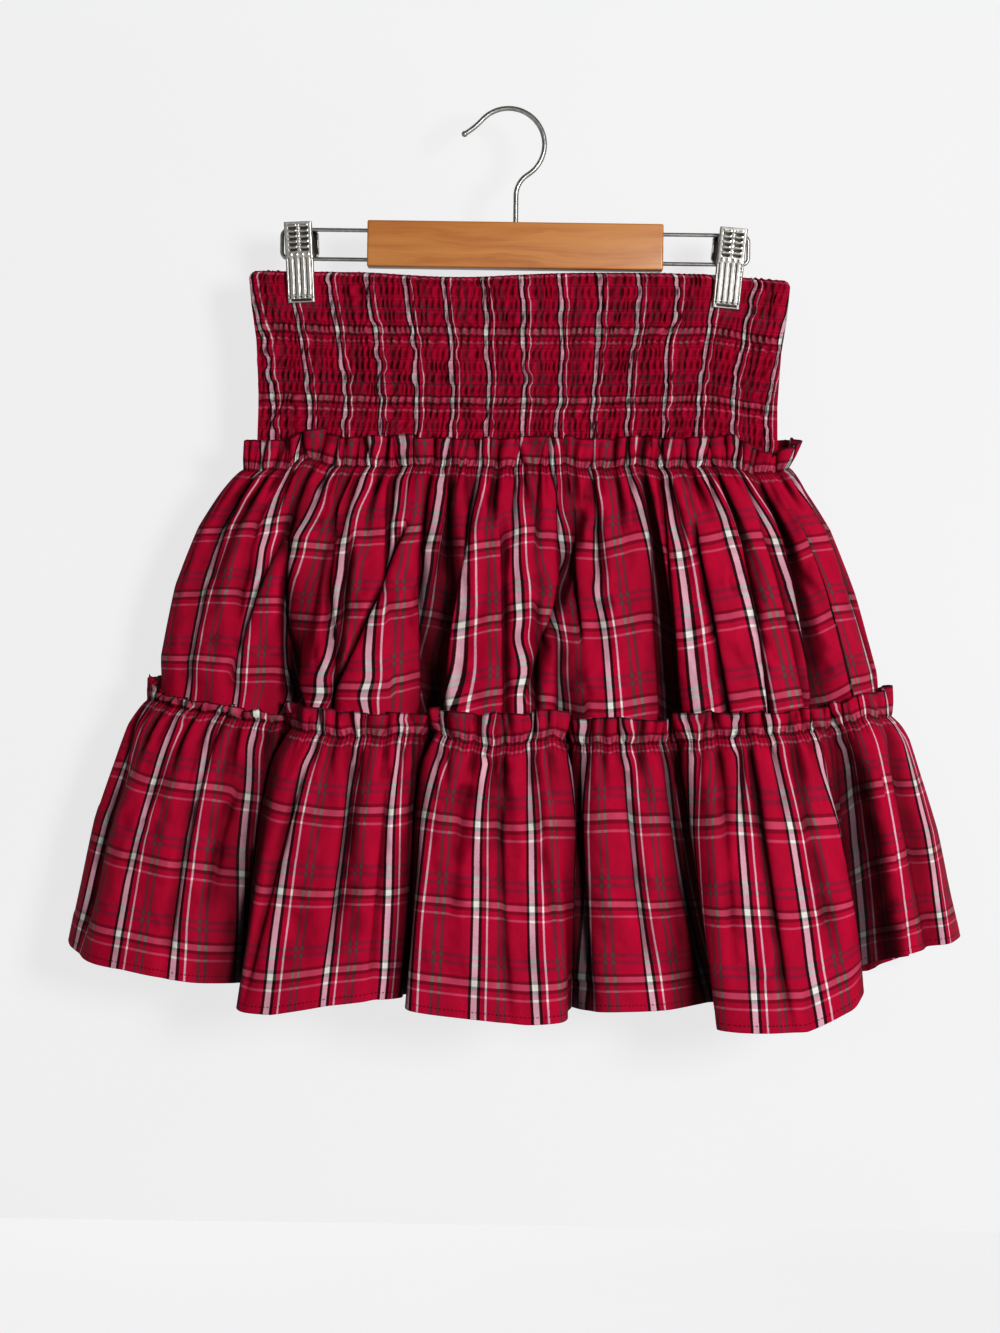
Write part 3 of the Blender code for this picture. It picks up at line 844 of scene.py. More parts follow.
@dataclass
class FoldRings:
    """The skirt's rings of folds at the waist, at the lower gathering line and at the hem."""

    garment_x: float = GARMENT_X
    waist_z: float = -233.0
    waist_slope: float = WAIST_SLOPE
    waist_half_width: float = 179.0
    waist_half_depth: float = 10.0
    gather_left: float = 237.0
    gather_right: float = 243.0
    waist: np.ndarray = field(init=False)
    gather: np.ndarray = field(init=False)
    hem: np.ndarray = field(init=False)
    front_end: int = field(init=False, default=len(FRONT_FOLDS))

    def __post_init__(self) -> None:
        """Works out the three rings."""
        folds = FRONT_FOLDS + BACK_FOLDS
        self.gather = np.array([(f.gather[0], -f.gather[1], f.gather[2]) for f in folds])
        self.hem = np.array([(f.hem[0], -f.hem[1], f.hem[2]) for f in folds])
        self.waist = np.array([self.on_waist(point) for point in self.gather])

    def on_waist(self, point: np.ndarray) -> tuple[float, float, float]:
        """The place on the waist's flat oval that a point of the gathering line hangs from."""
        reach = self.gather_left if point[0] < 0.0 else self.gather_right
        x = point[0] * self.waist_half_width / reach
        in_from_end = min(self.waist_half_depth, max(0.0, self.waist_half_width - abs(x)))
        depth = math.sqrt(self.waist_half_depth**2 - (self.waist_half_depth - in_from_end) ** 2)
        return (x, math.copysign(depth, point[1]), self.waist_z + self.waist_slope * x)

    def between(
        self, start: np.ndarray, end: np.ndarray, share: float, ease: float
    ) -> np.ndarray:
        """A ring part of the way from one to the next.

        Args:
            start: The upper ring.
            end: The lower ring.
            share: How far down.
            ease: How early the folds open out.

        Returns:
            The ring.
        """
        below = max(0.0, share)
        ring = start + (end - start) * below**ease
        ring[:, 2] = start[:, 2] + (end[:, 2] - start[:, 2]) * below
        return ring


# ---- Gathers ----


@dataclass(frozen=True)
class Crease:
    """One crease: where on the flat cloth, how wide, how deep, and how far down.

    A crease leans by lean millimetres for each millimetre down. A negative depth is a trough.
    Where over is above nought its right shoulder hangs over the trough by that much, and where it
    is below nought its left shoulder does.
    """

    at: float
    width: float
    depth: float
    top: float
    bottom: float
    lean: float = 0.0
    over: float = 0.0

    def slip(self, across: np.ndarray, down: float) -> np.ndarray:
        """How far the cloth beyond it has slipped along it, since it was gathered unevenly.

        Args:
            across: Places on the flat cloth.
            down: The distance below the gathering line.

        Returns:
            The slip at each place.
        """
        step = math.copysign(0.28 * self.depth, math.sin(self.at))
        away = (across - self.at - self.lean * down) / self.width
        return step * np.tanh(away / 0.4) * np.exp(-((away * self.width / 55.0) ** 2))

    def relief(self, across: np.ndarray, down: float) -> tuple[np.ndarray, np.ndarray]:
        """Its height over the cloth at one row, and how far it pulls the cloth sideways.

        Args:
            across: Places on the flat cloth.
            down: The distance below the gathering line.

        Returns:
            The height and the pull at each place.
        """
        fade = float(smooth(self.top - 14.0, self.top + 26.0, down))
        fade *= 1.0 - float(smooth(self.bottom - 40.0, self.bottom + 20.0, down))
        room = min(1.0, 0.25 + down / 70.0)
        away = (across - self.at - self.lean * down) / self.width
        shoulder = math.copysign(1.15, self.over)
        pull = -self.over * fade * room * np.exp(-(((away - shoulder) / 0.75) ** 2))
        return self.depth * fade * room * np.exp(-away * away), pull


@dataclass
class Gathers:
    """The little pleats that a gathering thread makes, each with its own depth, reach and lean."""

    flat_width: float
    spacing: float
    depth: float
    reach: float
    seed: int
    widening: float = 0.06
    ruffle: float = 1.6
    stitched: float = 0.4
    rise: float = 11.0

    def __post_init__(self) -> None:
        """Scatters the pleats along the flat cloth."""
        draw = np.random.default_rng(self.seed)
        count = int(self.flat_width / self.spacing) + 2
        even = (np.arange(count) - 0.5) * self.spacing
        self.at = even + draw.uniform(-0.36, 0.36, count) * self.spacing
        self.deep = self.depth * draw.uniform(0.4, 1.4, count)
        self.far = self.reach * (0.3 + 1.5 * draw.uniform(0.0, 1.0, count) ** 2)
        self.wide = self.spacing * draw.uniform(0.13, 0.25, count)
        self.lean = draw.uniform(-0.12, 0.12, count)
        self.over = draw.choice((-1.0, 1.0), count) * draw.uniform(0.2, 1.0, count)

    def relief(
        self, across: np.ndarray, down: float, header: float
    ) -> tuple[np.ndarray, np.ndarray]:
        """How far the cloth stands out of its smooth fold at one row, and is pulled sideways.

        Args:
            across: Places on the flat cloth.
            down: The distance below the gathering line, negative in the frill.
            header: The frill's height.

        Returns:
            The relief and the pull at each place.
        """
        if down >= 0.0:
            opened = self.stitched + (1.0 - self.stitched) * float(smooth(0.0, self.rise, down))
            fade = opened * np.exp(-((down / self.far) ** 1.3))
            wide = self.wide + self.widening * down
            lean = self.lean * down
        else:
            rise = min(1.0, -down / header)
            fade = np.full(len(self.at), self.stitched + (self.ruffle - self.stitched) * rise**0.7)
            wide = self.wide * (1.0 + 0.5 * rise)
            lean = self.lean * down * 1.5
        away = (across[:, None] - self.at - lean) / wide
        troughs = (self.deep * fade) * np.exp(-away * away)
        shoulder = np.sign(self.over) * 1.1
        pulls = self.over * fade * np.exp(-(((away - shoulder) / 0.8) ** 2))
        relief = self.depth * float(np.mean(fade)) * 0.3 - troughs.sum(axis=1)
        return relief, -pulls.sum(axis=1) * self.depth * (0.7 if down < 0.0 else 0.5)


UPPER_FRONT_CREASES = (
    Crease(38.0, 9.0, -3.0, 20.0, 260.0, 0.02, 1.0),
    Crease(74.0, 9.0, -4.0, 25.0, 260.0, 0.1, 1.5),
    Crease(112.0, 9.0, -16.0, 0.0, 260.0, 0.26, 9.0),
    Crease(129.0, 5.0, -9.0, 30.0, 130.0, -0.26, 6.0),
    Crease(158.0, 5.0, -6.0, 5.0, 150.0, 0.24, 3.0),
    Crease(190.0, 6.0, -8.0, 50.0, 260.0, 0.05, -4.0),
    Crease(276.0, 5.0, -9.0, 40.0, 240.0, -0.48, 5.0),
    Crease(222.0, 5.0, -6.0, 0.0, 90.0, 0.2, -3.0),
    Crease(274.0, 8.0, -17.0, 0.0, 260.0, 0.16, 8.0),
    Crease(300.0, 5.0, -6.0, 0.0, 110.0, 0.05, -3.0),
    Crease(338.0, 6.0, -8.0, 0.0, 120.0, -0.2, -5.0),
    Crease(372.0, 6.0, -7.0, 30.0, 260.0, 0.06, -4.0),
    Crease(418.0, 6.0, -8.0, 90.0, 260.0, -0.04, 2.5),
    Crease(494.0, 8.0, -12.0, 0.0, 150.0, -0.6, -3.5),
    Crease(460.0, 5.0, -6.0, 0.0, 110.0, 0.1, 3.0),
    Crease(558.0, 9.0, -18.0, 0.0, 260.0, -0.03, -7.0),
    Crease(584.0, 6.0, -7.0, 10.0, 170.0, -0.12, 4.0),
    Crease(612.0, 6.0, -8.0, 30.0, 260.0, 0.02, 4.0),
    Crease(664.0, 5.0, -7.0, 10.0, 240.0, -0.09, -4.0),
    Crease(690.0, 6.0, -8.0, 40.0, 260.0, -0.02, -4.0),
    Crease(716.0, 8.0, -14.0, 0.0, 260.0, -0.09, -7.0),
)
LOWER_FRONT_CREASES = (
    Crease(30.0, 6.0, -4.8, 0.0, 170.0, -0.02, 2.0),
    Crease(70.0, 6.0, -4.0, 0.0, 110.0, -0.1, -2.0),
    Crease(108.0, 6.0, -4.8, 0.0, 170.0, -0.05, 2.0),
    Crease(144.0, 6.0, -4.8, 0.0, 130.0, -0.12, 3.0),
    Crease(183.0, 10.0, -8.0, 0.0, 260.0, -0.1, 12.0),
    Crease(228.0, 5.0, -4.8, 0.0, 170.0, -0.14, 3.0),
    Crease(272.0, 6.0, -5.6, 0.0, 150.0, -0.04, -3.0),
    Crease(306.0, 4.0, -4.0, 0.0, 170.0, -0.06, -2.0),
    Crease(338.0, 6.0, -4.8, 0.0, 120.0, 0.04, 3.0),
    Crease(376.0, 10.0, -8.0, 0.0, 260.0, -0.2, 12.0),
    Crease(420.0, 6.0, -4.0, 0.0, 110.0, -0.05, -2.0),
    Crease(452.0, 5.0, -4.0, 0.0, 170.0, 0.03, 2.0),
    Crease(486.0, 5.0, -4.0, 0.0, 130.0, 0.06, -2.0),
    Crease(523.0, 9.0, -8.0, 0.0, 260.0, 0.06, -12.0),
    Crease(556.0, 6.0, -4.8, 10.0, 170.0, 0.0, 2.0),
    Crease(602.0, 6.0, -4.8, 0.0, 150.0, 0.02, -3.0),
    Crease(640.0, 6.0, -5.6, 0.0, 170.0, 0.05, -3.0),
    Crease(668.0, 9.0, -8.0, 0.0, 260.0, 0.14, 10.0),
    Crease(712.0, 6.0, -4.0, 0.0, 130.0, 0.0, 2.0),
    Crease(746.0, 5.0, -5.6, 0.0, 170.0, 0.02, 4.0),
    Crease(780.0, 6.0, -4.8, 0.0, 140.0, 0.05, -2.0),
    Crease(812.0, 9.0, -9.0, 0.0, 260.0, 0.05, -9.0),
    Crease(850.0, 13.0, -11.0, -20.0, 260.0, 0.03, -3.0),
)
UPPER_BACK_CREASES = (
    Crease(34.0, 7.0, -10.0, 0.0, 260.0, 0.1, 6.0),
    Crease(86.0, 6.0, -8.0, 10.0, 230.0, 0.12, 3.0),
    Crease(138.0, 7.0, -11.0, 0.0, 260.0, 0.05, -6.0),
    Crease(186.0, 6.0, -4.0, 20.0, 200.0, -0.08, 2.0),
    Crease(236.0, 8.0, -6.0, 0.0, 260.0, 0.02, 6.0),
    Crease(284.0, 6.0, -8.0, 0.0, 160.0, 0.1, -3.0),
    Crease(326.0, 6.0, -7.0, 30.0, 260.0, 0.0, 3.0),
    Crease(372.0, 8.0, -16.0, 0.0, 260.0, -0.04, -7.0),
    Crease(420.0, 5.0, -7.0, 10.0, 180.0, 0.06, 3.0),
    Crease(474.0, 7.0, -12.0, 0.0, 250.0, -0.1, 5.0),
    Crease(522.0, 6.0, -7.0, 20.0, 230.0, 0.04, -3.0),
    Crease(568.0, 8.0, -14.0, 0.0, 260.0, 0.03, 6.0),
    Crease(620.0, 5.0, -7.0, 0.0, 200.0, -0.06, -3.0),
    Crease(672.0, 7.0, -11.0, 0.0, 250.0, -0.1, -5.0),
    Crease(708.0, 6.0, -7.0, 10.0, 220.0, -0.08, 3.0),
)
LOWER_BACK_CREASES = (
    Crease(18.0, 8.0, -9.0, 0.0, 260.0, 0.03, 0.0),
    Crease(62.0, 6.0, -6.0, 0.0, 150.0, 0.03, 2.0),
    Crease(98.0, 5.0, -6.0, 0.0, 240.0, -0.04, -3.0),
    Crease(146.0, 9.0, -8.0, 0.0, 260.0, 0.06, 9.0),
    Crease(192.0, 6.0, -6.0, 0.0, 140.0, 0.02, -2.0),
    Crease(238.0, 5.0, -6.0, 0.0, 220.0, 0.05, 3.0),
    Crease(286.0, 9.0, -8.0, 0.0, 260.0, -0.05, -9.0),
    Crease(330.0, 6.0, -6.0, 0.0, 170.0, -0.03, 2.0),
    Crease(378.0, 5.0, -6.0, 0.0, 240.0, 0.0, -3.0),
    Crease(424.0, 9.0, -8.0, 0.0, 260.0, 0.08, 9.0),
    Crease(470.0, 6.0, -6.0, 0.0, 120.0, 0.04, -2.0),
    Crease(516.0, 5.0, -6.0, 0.0, 230.0, -0.05, 2.0),
    Crease(566.0, 9.0, -8.0, 0.0, 260.0, -0.06, -9.0),
    Crease(612.0, 6.0, -6.0, 0.0, 160.0, 0.02, 2.0),
    Crease(660.0, 5.0, -6.0, 0.0, 240.0, -0.02, -3.0),
    Crease(708.0, 8.0, -8.0, 0.0, 260.0, 0.05, 7.0),
    Crease(762.0, 6.0, -7.0, 0.0, 200.0, -0.03, 2.0),
)


# ---- Cloth pieces ----


class Draw(IntEnum):
    """What each of a tier's noises is for: how far its seed lies above the tier's own."""

    FRILL = 5
    LEAN = 9
    SLIP = 10
    CRIMP = 11
    WIDE_CRIMP = 12
    RISE = 13


@dataclass
class Tier:
    """One panel of a tier with its frill, gathered onto what is above it.

    Pleats and puckers are each a spacing, a depth and a reach. The columns of its tables are:
    header_rows, a place across the flat cloth and a share of the frill's height; rise_rows and
    hem_rows, a place across and how far that edge is lifted; puff_rows, a share of the way down and
    how far the cloth stands out; bulge_rows, a share of the way down and how far each side bulges;
    crumple_rows, a lean, a cell along and down, a depth and how far the seed lies above its own.
    """

    name: str
    rings: FoldRings
    start: np.ndarray
    end: np.ndarray
    span: tuple[int, int]
    ease: float
    header: float
    flat_width: float
    drop: float
    pleats: tuple[float, float, float]
    puckers: tuple[float, float, float]
    draws: tuple[int, int]
    creases: tuple[Crease, ...] = ()
    rests_on: tuple[str, ...] = ()
    inset: float = 0.0
    tuck: float = 0.0
    tucked: float = 0.0
    below: float = 0.0
    pattern: tuple[float, float] = (0.0, 0.0)
    seed: int = 1
    taken_over: float = 100.0
    wander: float = 0.07
    uneven: float = 1.0
    fullness: float = 1.0
    crumple: float = 1.2
    columns: int = 480
    rows: int = 66
    wall: float = 0.8
    hem: float = 0.0
    header_rows: Rows = ((0.0, 1.0), (1000.0, 1.0))
    bulge_rows: Rows = ((1.0, 0.0, 0.0), (0.0, 0.0, 0.0))
    rise_rows: Rows = ((1000.0, 0.0), (0.0, 0.0))
    hem_rows: Rows = ((1000.0, 0.0), (0.0, 0.0))
    lips: tuple[float, float] = (0.0, 0.0)
    lip_width: float = 8.0
    unhemmed: float = 100.0
    gathers: tuple[Gathers, ...] = field(init=False)
    crumple_rows: Rows = ((0.55, 15.0, 34.0, 1.5, 0), (-0.5, 9.0, 20.0, 1.0, 30))
    puff_rows: Rows = (
        (1.0, 0.0), (0.76, 0.4), (0.5, 1.2), (0.26, 2.4), (0.1, 3.4), (0.0, 1.0), (-0.45, 3.0),
        (-1.0, 4.6),
    )

    def __post_init__(self) -> None:
        """Lays out the deep pleats and the small puckers of the gathering thread."""
        sizes = zip((self.pleats, self.puckers), self.draws)
        self.gathers = tuple(Gathers(self.flat_width, *size, draw) for size, draw in sizes)

    def columns_at(self) -> np.ndarray:
        """Positions round the ring for the grid's columns, evenly spaced along the hem."""
        fine = np.linspace(self.span[0], self.span[1], 4000)
        run = lengths_along(spline(self.end, fine))
        return np.interp(np.linspace(0.0, run[-1], self.columns + 1), run, fine)

    def shares(self) -> list[float]:
        """The rows' shares of the way down, closer together at the frill and the hem."""
        frill = [-1.0, -0.985, -0.95] + [-1.0 + step / 12.0 for step in range(1, 12)]
        body_rows = self.rows - len(frill)
        body = [(step / body_rows) ** 1.15 for step in range(body_rows + 1)]
        if self.hem > 0.0:
            edge = self.hem / self.drop
            body = [share * (1.0 - 1.4 * edge) for share in body]
            body += [1.0 - part * edge for part in (1.15, 1.0, 0.85, 0.5, 0.12, 0.0)]
        return frill + body

    def ways_out(self, ring: np.ndarray, positions: np.ndarray) -> np.ndarray:
        """The way out of a ring, in plan.

        Args:
            ring: The ring's points.
            positions: Places round it, counted in points.

        Returns:
            A direction for each position.
        """
        nudge = 0.03
        ahead = spline(ring, positions + nudge) - spline(ring, positions - nudge)
        side = np.stack([ahead[:, 1], -ahead[:, 0]], axis=1)
        return side / np.linalg.norm(side, axis=1)[:, None]

    def folded(
        self, across: np.ndarray, run: np.ndarray, share: float, down: float
    ) -> tuple[np.ndarray, np.ndarray]:
        """How far one row stands off its smooth fold, and is pulled along it.

        Args:
            across: Places on the flat cloth, before its fullness.
            run: The distance along the row.
            share: The row's share of the way down, negative in the frill.
            down: The same in millimetres.

        Returns:
            The stand and the pull at each place.
        """
        folds = [thread.relief(across, down, self.header) for thread in self.gathers]
        folds += [crease.relief(across, max(0.0, down)) for crease in self.creases]
        from_seam = np.minimum(run, run[-1] - run)
        pull = sum(fold[1] for fold in folds) * smooth(0.0, 12.0, from_seam)
        pull = pull * (1.0 - float(smooth(0.82, 0.97, share)) * self.tucked)
        puff = float(read_table(self.puff_rows, share, 1))
        free = 4.5 * float(smooth(4.0, 13.0, down)) + 0.12 * max(0.0, down)
        room = 1.2 + (0.9 * puff if share < 0.0 else free)
        relief = sum(fold[0] for fold in folds)
        relief = np.where(relief < 0.0, room * np.tanh(relief / room), relief)
        relief = relief * smooth(0.0, 9.0, from_seam)
        relief = relief * (1.0 - 0.8 * float(smooth(0.85, 1.0, share)) * self.tucked)
        stand = relief + puff - self.inset - self.tuck * float(smooth(0.8, 0.93, share))
        stand = stand + soft_noise(across + down * 0.3, 23.0, self.seed) * 0.5
        for lip, away in zip(self.lips, (run, run[-1] - run)):
            lifted = float(smooth(-10.0, 20.0, down))
            stand = stand + lip * np.exp(-((away / self.lip_width) ** 2)) * lifted
        return stand, pull

    def crumpled(self, across: np.ndarray, share: float, down: float) -> np.ndarray:
        """How far soft crumples move one row, least at its seam and its lower edge.

        Args:
            across: Places on the flat cloth, before its fullness.
            share: The row's share of the way down.
            down: The same in millimetres.

        Returns:
            The distance at each place.
        """
        rough = sum(
            crumples(across + down * lean, down, cell, tall, self.seed + draw) * depth
            for lean, cell, tall, depth, draw in self.crumple_rows
        )
        calm = 1.0 - 0.7 * float(smooth(0.75, 0.97, share))
        return rough * self.crumple * calm * float(smooth(2.0, 24.0, down))

    def set_height(self, line: np.ndarray, across: np.ndarray, share: float, down: float) -> None:
        """Lifts the frill's uneven edge, the gathering line and the hem of one row.

        Args:
            line: The row's points, which it moves.
            across: Places on the flat cloth, before its fullness.
            share: The row's share of the way down.
            down: The same in millimetres.
        """
        if share < 0.0:
            header = self.header * read_table(self.header_rows, across, 1)
            ripple = soft_noise(across, 11.0, self.seed + Draw.FRILL) * 1.6
            line[:, 2] -= share * (header + ripple * -share)
        line[:, 2] -= self.below * float(smooth(0.9, 1.0, share))
        risen = read_table(self.rise_rows, across, 1)
        risen = risen + soft_noise(across, 31.0, self.seed + Draw.RISE) * 1.6
        line[:, 2] += risen * (1.0 - float(smooth(8.0, 95.0, down)))
        line[:, 2] += read_table(self.hem_rows, across, 1) * float(smooth(0.4, 1.0, share))

    def set_width(self, line: np.ndarray, share: float) -> None:
        """Bulges one row at its two sides and moves it to the garment's middle.

        Args:
            line: The row's points, which it moves.
            share: The row's share of the way down.
        """
        reach = line[:, 0] / np.abs(line[:, 0]).max()
        left, right = (float(read_table(self.bulge_rows, share, k)) for k in (1, 2))
        line[:, 0] += np.where(reach < 0.0, -left, right) * np.abs(reach) ** 3
        line[:, 0] += self.rings.garment_x

    def on_check(
        self, line: np.ndarray, across: np.ndarray, share: float, down: float
    ) -> tuple[np.ndarray, np.ndarray]:
        """Where one row lies on the check, which slips where it was gathered unevenly.

        Args:
            line: The row's points, in their folds.
            across: Places on the flat cloth, before its fullness.
            share: The row's share of the way down.
            down: The same in millimetres.

        Returns:
            Places along and down the check.
        """
        run = lengths_along(line)
        taken = run / run[-1] * self.flat_width - across
        lean = soft_noise(across, 75.0, self.seed + Draw.LEAN) * self.wander * max(0.0, down)
        along = (across + taken - self.slow(taken) + lean) * self.fullness + self.pattern[0]
        slip = soft_noise(across, 42.0, self.seed + Draw.SLIP) * 2.0
        slip = slip + sum(crease.slip(across, max(0.0, down)) for crease in self.creases)
        slip = slip * self.uneven * float(smooth(0.0, 45.0, down))
        if self.hem > 0.0:
            slip = slip * (1.0 - float(smooth(0.35, 0.9, share)))
        crimp = soft_noise(across, 4.5, self.seed + Draw.CRIMP) * 1.1
        crimp = crimp + soft_noise(across, 9.0, self.seed + Draw.WIDE_CRIMP)
        slip = slip + crimp * math.exp(-((down / 9.0) ** 2))
        header = self.header * read_table(self.header_rows, across, 1)
        level = share * header if share < 0.0 else down
        return along, level + slip + self.pattern[1]

    def build(self, material: bpy.types.Material) -> bpy.types.Object:
        """Makes the panel.

        Args:
            material: The cloth.

        Returns:
            The piece.
        """
        positions = self.columns_at()
        shares = self.shares()
        places = np.zeros((len(shares), len(positions), 3))
        flat = np.zeros((len(shares), len(positions), 2))
        trim = np.zeros_like(flat)
        shut = np.zeros(flat.shape[:2])
        for row, share in enumerate(shares):
            ring = self.rings.between(self.start, self.end, share, self.ease)
            line = spline(ring, positions)
            side = self.ways_out(ring, positions)
            run = lengths_along(line)
            across = run / run[-1] * self.flat_width
            down = share * self.drop if share >= 0.0 else share * self.header
            stand, pull = self.folded(across, run, share, down)
            along = np.stack([self.slow(-side[:, 1]), self.slow(side[:, 0])], axis=1)
            line[:, :2] += side * stand[:, None] + along * pull[:, None]
            self.set_height(line, across, share, down)
            self.set_width(line, share)
            flat[row, :, 0], flat[row, :, 1] = self.on_check(line, across, share, down)
            line[:, 1] += side[:, 1] * self.crumpled(across, share, down)
            places[row] = line
            trim[row, :, 0] = across
            trim[row, :, 1] = down if self.hem > 0.0 else min(down, self.unhemmed)
            if share < 0.0:
                trim[row, :, 1] = -share * PlaidCotton.frill_edge
            # Painted shade for the folds' troughs, half as strong in the frill.
            shut[row] = shut_in(line[:, :2], side) * (0.5 + 0.5 * float(smooth(-2.0, 8.0, down)))
        return cloth_piece(f"{self.name}_cloth", places, flat, self.wall, material, trim, shut)

    def slow(self, values: np.ndarray) -> np.ndarray:
        """The slow part of values along a row: their mean over the cloth each side.

        Args:
            values: One for each column.

        Returns:
            The slow part.
        """
        reach = int(self.columns * self.taken_over / self.flat_width)
        padded = np.pad(values, reach, mode="reflect", reflect_type="odd")
        window = np.hanning(2 * reach + 3)[1:-1]
        return np.convolve(padded, window / window.sum(), mode="valid")

    def dress(self, material: bpy.types.Material) -> bpy.types.Object:
        """Makes the panel and hides the CAD part that it stands for.

        Args:
            material: The cloth.

        Returns:
            The piece.
        """
        piece = self.build(material)
        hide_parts(self.name)
        size = (self.flat_width * self.fullness * MM, (self.header + self.drop + self.below) * MM)
        return piece


@dataclass
class Waistband:
    """One smocked panel of the waistband, held flat in the clips and bowed between them."""

    front: bool
    garment_x: float = GARMENT_X
    hanger_x: float = HANGER_X
    clip_x: float = CLIP_X
    clip_width: float = CLIP_WIDTH
    pivot_z: float = CLIP_PIVOT_Z
    leans: tuple[float, float] = CLIP_LEANS
    wall: float = 1.0
    flat_wall: float = 1.75
    puffed: float = 1.8
    half_depth: float = 7.0
    sag: float = 3.6
    droop: float = 3.6
    lift: float = 1.1
    fall: float = 8.0
    bowed: float = 2.6
    slope: float = WAIST_SLOPE
    flat_width: float = 640.0
    flat_height: float = 152.0
    elastic_rows: int = 17
    pleats: int = 86
    pleat_depth: float = 4.2
    groove: float = 1.3
    pattern: tuple[float, float] = (3.0, 5.3)
    pleat_columns: int = 6
    rows: int = 92
    zigzag: float = 1.1
    sway: float = 0.9
    shuffle: float = 0.7
    slant: float = 0.3
    spread: float = 0.085
    outline: Rows = (
        (-106.5, 172.0), (-108.0, 174.6), (-110.5, 175.8), (-128.0, 174.0), (-150.0, 170.5),
        (-185.0, 168.5), (-215.0, 169.0), (-237.0, 167.0),
    )

    def bow(
        self, across: np.ndarray, width: float, height: float
    ) -> tuple[np.ndarray, np.ndarray]:
        """How far the panel's face stands off the middle.

        Args:
            across: Places across it, from its middle.
            width: Half of its width there.
            height: The row's height.

        Returns:
            The distance at each place, and how free of the clips its pleats are there.
        """
        bow = np.sqrt(np.clip(1.0 - np.abs(across / width) ** 4, 0.0, 1.0))
        nip, loose = np.ones(len(across)), np.ones(len(across))
        for sign, lean in zip((-1.0, 1.0), self.leans):
            shift = math.tan(math.radians(lean)) * (self.pivot_z - height)
            clip = self.hanger_x + sign * self.clip_x - self.garment_x + shift
            aside = smooth(self.clip_width * 0.6, self.clip_width * 2.4, np.abs(across - clip))
            nip = np.minimum(nip, np.maximum(aside, smooth(132.0, 185.0, -height)))
            clear = smooth(self.clip_width * 0.54, self.clip_width * 0.85, np.abs(across - clip))
            loose = np.minimum(loose, np.maximum(clear, smooth(127.5, 137.0, -height)))
        least = self.flat_wall + self.puffed * loose
        return np.maximum(least, self.half_depth * bow * nip), loose

    def build(self, material: bpy.types.Material) -> bpy.types.Object:
        """Makes the panel.

        Args:
            material: The smocked cloth.

        Returns:
            The piece.
        """
        sign = -1.0 if self.front else 1.0
        seed = 40 if self.front else 60
        top, bottom = self.outline[0][0], self.outline[-1][0]
        pitch = (top - bottom) / self.elastic_rows
        places = np.zeros((self.rows + 1, self.pleats * self.pleat_columns + 1, 3))
        flat = np.zeros((self.rows + 1, self.pleats * self.pleat_columns + 1, 2))
        trim = np.zeros_like(flat)
        shut = np.zeros(flat.shape[:2])
        step = np.arange(self.pleats * self.pleat_columns + 1)
        inside = (step % self.pleat_columns) / self.pleat_columns
        inside = inside - 0.11 * np.sin(math.tau * inside)
        cloth = (step // self.pleat_columns + inside) * self.flat_width / self.pleats
        share = (2.0 * cloth / self.flat_width - 1.0) * (1.0 if self.front else -1.0)
        pleat = np.random.default_rng(seed).uniform(0.75, 1.2, self.pleats + 1)
        own = pleat[step // self.pleat_columns]
        for row in range(self.rows + 1):
            part = row / self.rows
            height = top + (bottom - top) * part
            width = float(read_table(self.outline, height, 1))
            across = share * width
            stitched = (top - height) / pitch
            near = abs(stitched - round(stitched)) * pitch
            pinch = 0.3 + 0.7 * float(smooth(0.2, 2.8, near))
            size = own * (1.0 + 0.4 * self.drift(cloth, stitched + 0.5, seed + 2, 7.0))
            phase = self.drift(cloth, stitched + 0.5, seed + 6, 19.0) * self.shuffle
            phase = phase + (stitched - math.floor(stitched) - 0.5) * self.slant
            turn = math.pi * (inside + phase)
            crest = np.abs(np.sin(turn))
            ridge = 0.5 * (crest + crest * crest) - 0.6
            slack = np.exp(-(((share + 0.24) / 0.3) ** 2))
            sag = self.sag * slack * (1.0 - float(smooth(0.0, 0.08, part)))
            ease = np.sqrt(np.clip(30.0 * (1.0 - np.abs(share)), 0.0, 1.0))
            bow, loose = self.bow(across, width, height)
            stand = self.pleat_depth * pinch * size * ridge * (0.2 + 0.8 * loose)
            stand = stand * (1.0 - 0.65 * float(smooth(213.0, 220.0, -height)))
            stand = stand - self.groove * math.exp(-((near / 1.1) ** 2))
            edge = self.wall + 0.1
            face = edge + (bow + stand - edge) * ease
            sway = self.drift(cloth, stitched + 0.5, seed + 3, 11.0) * self.zigzag
            sway = sway + self.drift(cloth, stitched / 3.1, seed + 4, 30.0) * self.sway
            sway = sway + self.bowed * (1.0 - share**2) * math.sin(math.pi * part)
            places[row, :, 0] = self.garment_x + across + sway * ease
            places[row, :, 1] = sign * np.maximum(face, edge)
            places[row, :, 2] = height - sag + self.slope * across * part
            places[row, :, 2] += self.lift * (1.0 + share) * (1.0 - part)
            falling = (0.45 + 0.55 * float(smooth(0.0, 0.3, part))) * (1.0 - float(smooth(0.75, 1.0, part)))
            places[row, :, 2] -= self.fall * smooth(0.68, 1.0, share) * falling
            places[row, :, 2] -= self.droop * (1.0 - share**2) * math.sin(math.pi * part) ** 0.6
            drawn = self.spread * float(smooth(-0.3, 0.75, part))
            flat[row, :, 0] = cloth + (cloth - self.flat_width / 2.0) * drawn + self.pattern[0]
            wave = self.drift(cloth, stitched / 2.2, seed + 5, 12.0) * 0.6 + crest * 0.6
            flat[row, :, 1] = part * self.flat_height + self.pattern[1] + wave
            flat[row, :, 1] -= 3.4 * (1.0 - float(smooth(0.0, 0.12, part)))
            trim[row, :, 0] = cloth
            trim[row, :, 1] = stitched * PlaidCotton.elastic_pitch
            # Painted shade for the troughs between the pleats.
            shut[row] = shut_in(places[row, :, :2], np.tile((0.0, sign), (len(step), 1)), 12)
